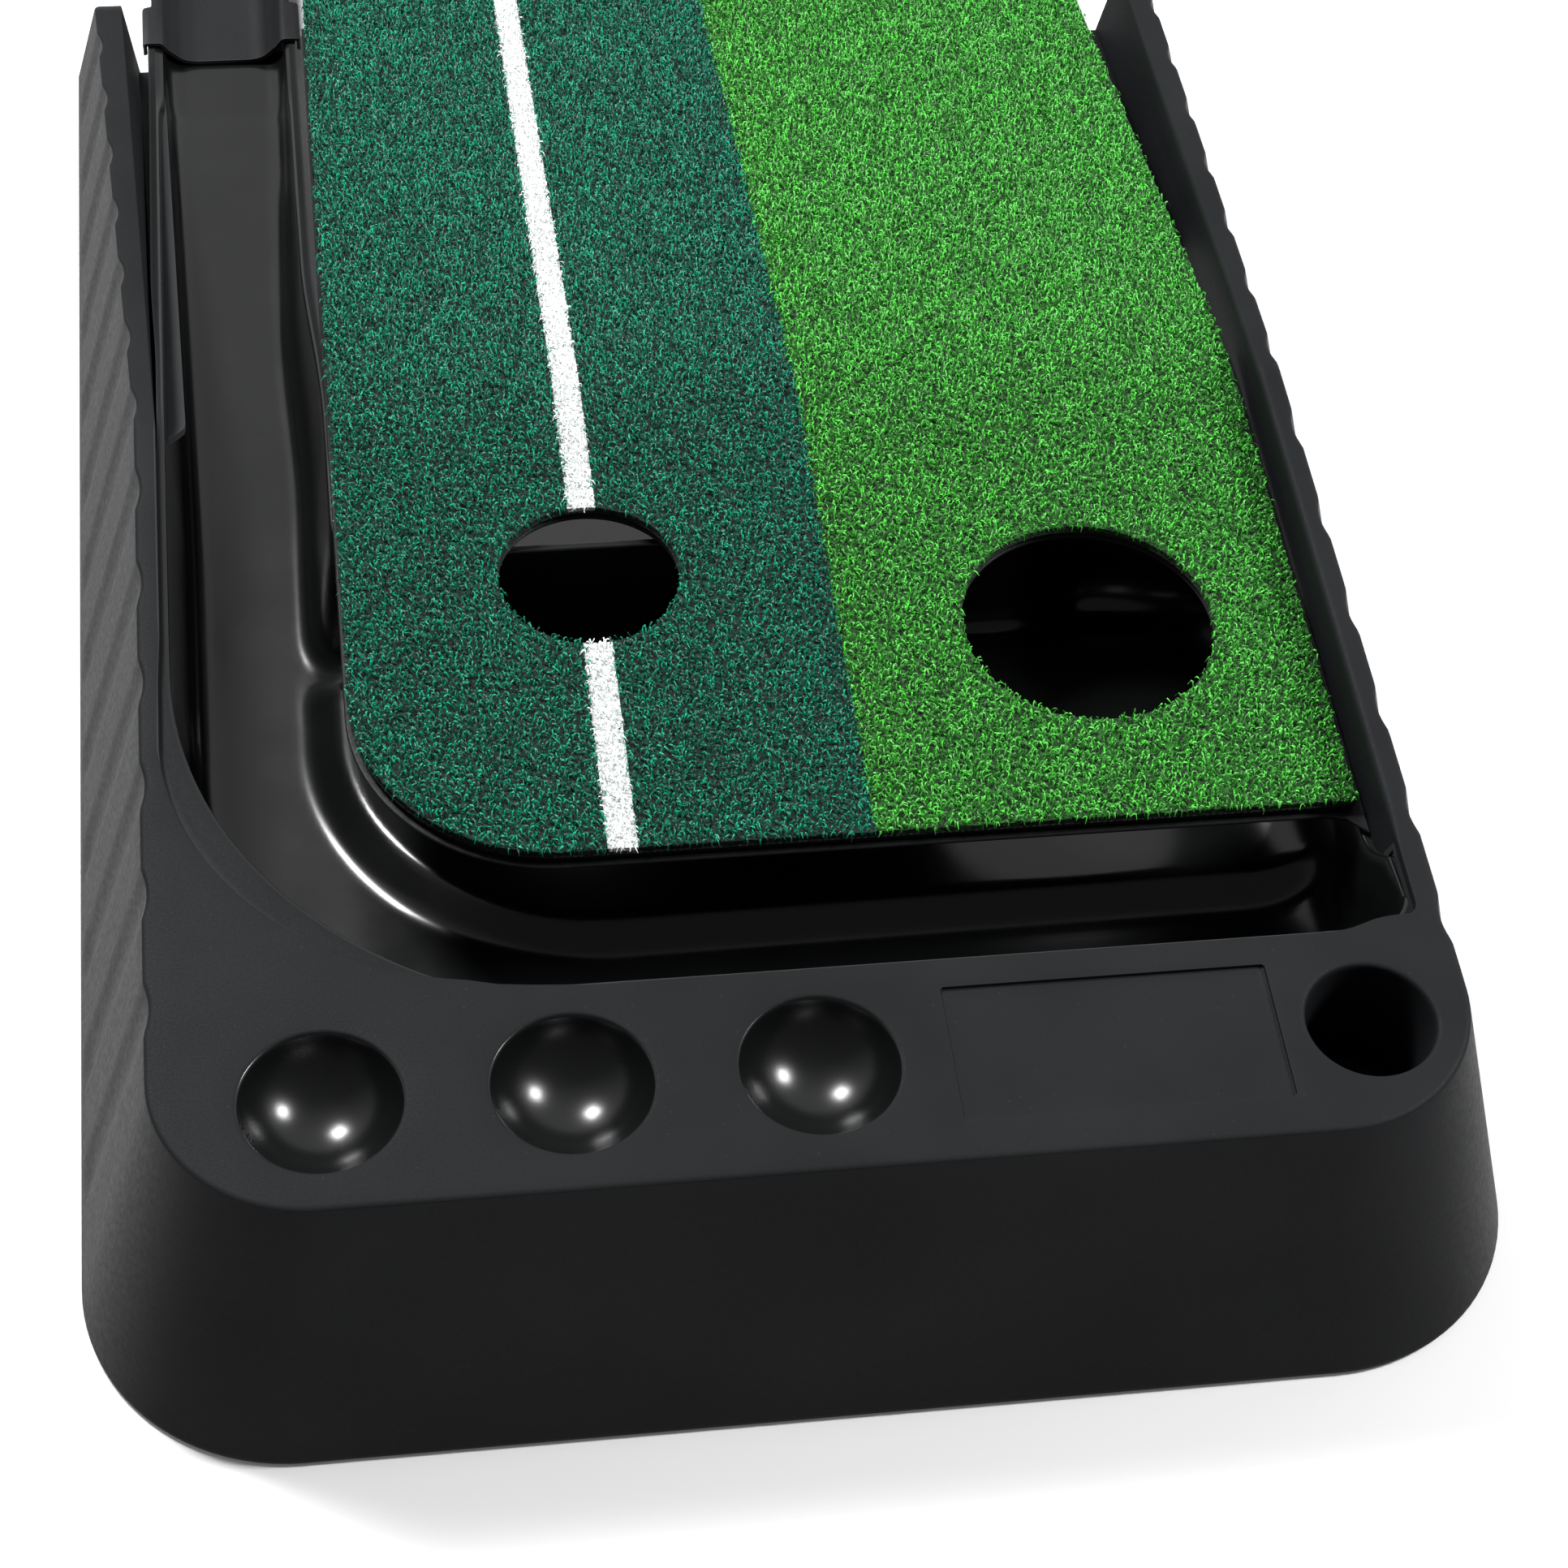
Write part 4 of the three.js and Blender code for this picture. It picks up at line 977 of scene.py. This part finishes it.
def ribbons(x, y, width, reach, low, high, joints=4):
    """Crimped ribbons: points (n, joints + 1, 2 edges, 3), and the flat list of their faces."""
    n = len(x)
    turn = rng.uniform(0, 2 * math.pi, n)
    curl = rng.choice([-1, 1], n) * rng.uniform(0.9, 2.6, n)
    length = reach * rng.uniform(0.55, 1.15, n)
    top = rng.uniform(low, high, n)
    wide = width * rng.uniform(0.75, 1.25, n)
    tilt = rng.uniform(-0.7, 0.7, n)
    t = np.linspace(0, 1, joints + 1)
    heading = turn[:, None] + curl[:, None] * t
    step = length[:, None] / joints * np.ones_like(t)
    step[:, 0] = 0
    px = x[:, None] + np.cumsum(step * np.cos(heading), 1) - length[:, None] * 0.35 * np.cos(turn)[:, None]
    py = y[:, None] + np.cumsum(step * np.sin(heading), 1) - length[:, None] * 0.35 * np.sin(turn)[:, None]
    dip = rng.uniform(0.5, 1.6, n)[:, None]
    h = BED_H - 0.9 + (top[:, None] - BED_H + 0.9) * np.sin(math.pi * np.clip(t * 0.86 + 0.07, 0, 1)) ** 0.7
    h -= dip * np.clip(t - 0.75, 0, 1)
    edge = wide[:, None] / 2 * np.array([0.8] + [1.0] * (joints - 1) + [0.35])
    ex, ey = -np.sin(heading) * edge, np.cos(heading) * edge
    eh = edge * tilt[:, None]
    a = on_mat(px + ex, py + ey, h + eh)
    b = on_mat(px - ex, py - ey, h - eh)
    points = np.stack([a, b], 2).reshape(-1, 3)
    first = np.arange(n)[:, None] * (2 * (joints + 1)) + 2 * np.arange(joints)[None]
    quads = np.stack([first, first + 1, first + 3, first + 2], -1).reshape(-1, 4)
    return points, quads


def fibre_piece(name, points, quads, material, node):
    mesh = bpy.data.meshes.new(name)
    mesh.vertices.add(len(points))
    mesh.vertices.foreach_set("co", metres(points).ravel().astype(np.float32))
    mesh.loops.add(quads.size)
    mesh.loops.foreach_set("vertex_index", quads.ravel().astype(np.int32))
    mesh.polygons.add(len(quads))
    mesh.polygons.foreach_set("loop_start", np.arange(0, quads.size, 4, dtype=np.int32))
    mesh.update(calc_edges=True)
    mesh.shade_smooth()
    mesh.materials.append(material)
    thing = bpy.data.objects.new(name, mesh)
    bpy.context.scene.collection.objects.link(thing)
    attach(thing, "mat")
    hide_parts(node)
    print(f"{name}: {len(quads)} faces")
    return thing


# %% Every strip of turf
LINE_X, LINE_MEETS = SMALL_HOLE[0], 232.0  # the two lengths of white line meet inside the small hole
LINE_LEFT, LINE_RIGHT = LINE_X - LINE_HALF, LINE_X + LINE_HALF
NEAR_END = 640.0  # ribbons stand closest where the hole end is seen from near by
strips = [
    ("turf_dark_left", MAT_LEFT, LINE_LEFT, MAT_FRONT, MAT_END, dark_bed_painted_shade, dark_tape, "dark_turf"),
    ("turf_dark_middle", LINE_RIGHT, TONES_X, MAT_FRONT, MAT_END, dark_bed_painted_shade, dark_tape, "dark_turf"),
    ("turf_light", TONES_X, MAT_RIGHT, MAT_FRONT, MAT_END, light_bed_painted_shade, light_tape, "light_turf"),
    ("white_line_front", LINE_LEFT, LINE_RIGHT, MAT_FRONT, LINE_MEETS, white_bed_painted_shade, white_tape, "white_turf"),
    ("white_line_long", LINE_LEFT, LINE_RIGHT, LINE_MEETS, MAT_END, white_bed_painted_shade, white_tape, "white_turf"),
]
for node, x0, x1, y0, y1, bed_colour_with_painted_shade, tape, slot in strips:
    made = bed_skin(x0, x1, y0, y1)
    bed_piece = made.piece(f"{node}_bed", [bed_colour_with_painted_shade], "mat", slot, replaces=[node], thickness=1.7,
                           outside=(0, 0, 1), smooth=70)
    parts = 2 if node == "turf_light" else 1
    for part in range(parts):
        a, b = x0 + (x1 - x0) * part / parts, x0 + (x1 - x0) * (part + 1) / parts
        x, y = sow(a, b, y0, min(y1, NEAR_END), 1.2)
        points, quads = ribbons(x, y, 0.42, 2.7, 5.4, TOP_H + 0.1, joints=3)
        fibre_piece(f"{node}_ribbons_{part + 1}", points, quads, tape, node)
    if y1 > NEAR_END:
        x, y = sow(x0, x1, NEAR_END, y1, 3.1 if x1 - x0 < 100 else 3.4)
        points, quads = ribbons(x, y, 1.2, 6.5, 5.2, TOP_H, joints=3)
        fibre_piece(f"{node}_far_ribbons", points, quads, tape, node)

# %% [markdown]
# ## The return track
# The track is vacuum-formed channel in push-fit lengths. Each has a wide collar that hangs over the piece
# before it, and a sunken end that slips inside the next collar. The whole length is one section with its
# widths changing on the way, so a profile is drawn once and moved along it.

# %% Track sections
TRACK_START, TRACK_PITCH, TRACK_COUNT, TRACK_LAP = 575.0, 396.0, 5, 22.0
TRACK_FLOOR, TRACK_DEPTH, TRACK_T = 4.4, 9.5, 1.6


def channel(wing, lip, drop, spread):
    """Upper side of the channel's section, from the left lip to the right, as (x, z)."""
    floor_z, rim_z = TRACK_FLOOR - drop, TRACK_FLOOR - drop + TRACK_DEPTH
    half = [(wing, rim_z - lip), (wing, rim_z - 0.9), (wing - 0.25, rim_z - 0.25), (wing - 0.9, rim_z)]
    half += [(wing - (wing - 24.4) * t, rim_z) for t in (0.5, 0.8)]
    half += [tuple(p) for p in rounded((22.9 + spread, rim_z), (1.3, 0), (-0.9, -1.2), 3)]
    half += [(20.3 + spread, rim_z - 3.6), (18.4 + spread, floor_z + 4.2)]
    half += [tuple(p) for p in rounded((14.6 + spread, floor_z + 0.2), (2.4, 2.6), (-5.2, -0.2), 6)]
    half += [(5.0, floor_z), (0.0, floor_z)]
    left = [(-x, z) for x, z in half]
    return np.array(left + [(x, z) for x, z in reversed(half[:-1])])


def track_skin(stations):
    rows = [[(GUTTER_X + x, y, z) for x, z in channel(*shape)] for y, shape in stations]
    skin = Skin()
    skin.strip(rows)
    return skin


# Shapes of the section: half width, lip depth, how far the floor drops, how far the walls spread.
COLLAR, COLLAR_EDGE = (30.0, 6.0, 0.0, 0.0), (29.6, 5.6, 0.0, 0.0)
BODY, SPIGOT = (26.5, 1.4, 0.0, 0.0), (27.4, 1.4, 2.0, 0.8)
RIB_INSET = 60.0


def collar_to_body(near):
    return [(near, COLLAR_EDGE), (near + 0.5, COLLAR), (near + TRACK_LAP - 1.5, COLLAR),
            (near + TRACK_LAP - 0.6, COLLAR_EDGE), (near + TRACK_LAP, (27.4, 2.4, 0.0, 0.0)),
            (near + TRACK_LAP + 0.8, BODY)]


def foot_rib(skin, y):
    """A small rib under the channel that stands on the floor."""
    low, high, x0, x1 = 0.05, TRACK_FLOOR - TRACK_T + 0.4, GUTTER_X - 11.0, GUTTER_X + 11.0
    outline = np.array([(x0, high), (x0 + 0.4, low + 0.4), (x0 + 0.9, low),
                        (x1 - 0.9, low), (x1 - 0.4, low + 0.4), (x1, high)])
    faces = [[(x, y + d, z) for d in (0.0, 1.5, 3.0)] for x, z in outline]
    skin.strip(faces, closed=True)
    for d in (0.0, 3.0):
        skin.add([(x, y + d, z) for x, z in outline], [list(range(6))])


for number in range(TRACK_COUNT):
    near = TRACK_START + number * TRACK_PITCH
    shoulder = near + TRACK_PITCH - 2
    line = collar_to_body(near) + [(y, BODY) for y in np.linspace(near + 60, shoulder - 40, 7)]
    line += [(shoulder - 4, BODY), (shoulder - 3, (26.7, 1.4, 0.3, 0.1)),
             (shoulder - 1.2, (27.2, 1.4, 1.7, 0.7)), (shoulder - 0.2, SPIGOT),
             (near + TRACK_PITCH + TRACK_LAP - 1.0, SPIGOT)]
    rides, stands_for = f"track_{number + 1}", [f"track_section_{number + 1}"]
    track_skin(line).piece(f"track_length_{number + 1}", [track_abs], rides, "track_black", replaces=stands_for,
                           thickness=1.4, outside=(0, 0, 1))
    ribs = Skin()
    foot_rib(ribs, near + RIB_INSET)
    foot_rib(ribs, near + TRACK_PITCH - RIB_INSET)
    ribs.piece(f"track_ribs_{number + 1}", [track_abs], rides, "track_black", replaces=stands_for)

# %% End cup
CUP_START, CUP_LENGTH = TRACK_START + TRACK_COUNT * TRACK_PITCH, 66.0
cup_run = [(y, BODY) for y in np.linspace(CUP_START + 30, CUP_START + CUP_LENGTH - 2, 5)]
cup = track_skin(collar_to_body(CUP_START) + cup_run)
cup.piece("end_cup_channel", [track_abs], "end_cup", "track_black", replaces=["track_end_cup"],
          thickness=1.4, outside=(0, 0, 1))
wall_line = [(-27, TRACK_FLOOR - TRACK_T), (27, TRACK_FLOOR - TRACK_T), (27, TRACK_FLOOR + 24)]
wall_line += [tuple(p) for p in rounded((27, TRACK_FLOOR + 30), (0, -6), (-8, 0), 7)]
wall_line += [tuple(p) for p in rounded((-27, TRACK_FLOOR + 30), (8, 0), (0, -6), 7)]
wall_line += [(-27, TRACK_FLOOR + 24)]
stop = Skin()
end_y = CUP_START + CUP_LENGTH
outline = np.array(wall_line)
centre = outline.mean(0)
levels = [(end_y - 3, 0.985), (end_y - 2.7, 1.0), (end_y - 0.4, 1.0), (end_y, 0.985)]
rows = [[(GUTTER_X + (x - centre[0]) * s + centre[0], y, (z - centre[1]) * s + centre[1])
         for y, s in levels] for x, z in outline]
stop.strip(rows, closed=True)
for y, s in (levels[0], levels[-1]):
    plan, faces = fill_plan((outline - centre) * s + centre, step=5)
    stop.add(np.column_stack([GUTTER_X + plan[:, 0], np.full(len(plan), y), plan[:, 1]]), faces)
foot_rib(stop, CUP_START + 40)
stop.piece("end_cup_wall", [track_abs], "end_cup", "track_black", replaces=["track_end_cup"])

# %% [markdown]
# ## Floor and light
# A pale floor and soft lights, as in a small product studio: one softbox high on the right and one high
# behind the left, which put two highlights in each dimple, and a backdrop that is bright behind the base
# and dark in front of it.

# %% Stage
floor_finish, surface = new_material("painted studio floor", 0.7, 1.45)
paint = add_node(floor_finish, "TexNoise", Vector=place_of(floor_finish), Scale=3.0, Detail=2.0)
two_tones(floor_finish, surface, paint.outputs["Fac"], "#f8f8f8", "#ffffff")
surface.inputs["Emission Color"].default_value = (1, 1, 1, 1)
surface.inputs["Emission Strength"].default_value = 0.05
floor_mesh = bpy.data.meshes.new("studio_floor")
floor_mesh.from_pydata([(-8, -8, 0), (8, -8, 0), (8, 8, 0), (-8, 8, 0)], [], [(0, 1, 2, 3)])
floor_mesh.materials.append(floor_finish)
studio_floor = bpy.data.objects.new("studio_floor", floor_mesh)
bpy.context.scene.collection.objects.link(studio_floor)
studio_floor.visible_glossy = False

world = bpy.data.worlds.new("studio")
world.use_nodes = True
sky = world.node_tree.nodes["Background"]
sky.inputs["Strength"].default_value = 1.0
towards = add_node(world, "TexCoord").outputs["Generated"]
split = add_node(world, "SeparateXYZ", Vector=towards)
behind = add_node(world, "MapRange", Value=split.outputs["Y"], From_Min=-0.25, From_Max=0.45,
                  To_Min=0.12, To_Max=0.62)
world.node_tree.links.new(behind.outputs["Result"], sky.inputs["Color"])
bpy.context.scene.world = world


SOFTBOX_AIM = (0, 150, 60)


def softbox(name, place, size, power):
    data = bpy.data.lights.new(name, "AREA")
    data.shape = "RECTANGLE"
    data.size, data.size_y = size, size
    data.energy = power
    lamp = bpy.data.objects.new(name, data)
    bpy.context.scene.collection.objects.link(lamp)
    spot, target = Vector(metres(place)), Vector(metres(SOFTBOX_AIM))
    lamp.location = spot
    lamp.rotation_euler = (target - spot).to_track_quat("-Z", "Y").to_euler()


softbox("right softbox", (1900, 250, 1800), 0.55, 60)
softbox("left softbox", (-960, 1400, 2130), 0.6, 75)

bpy.context.scene.view_settings.view_transform = "Standard"
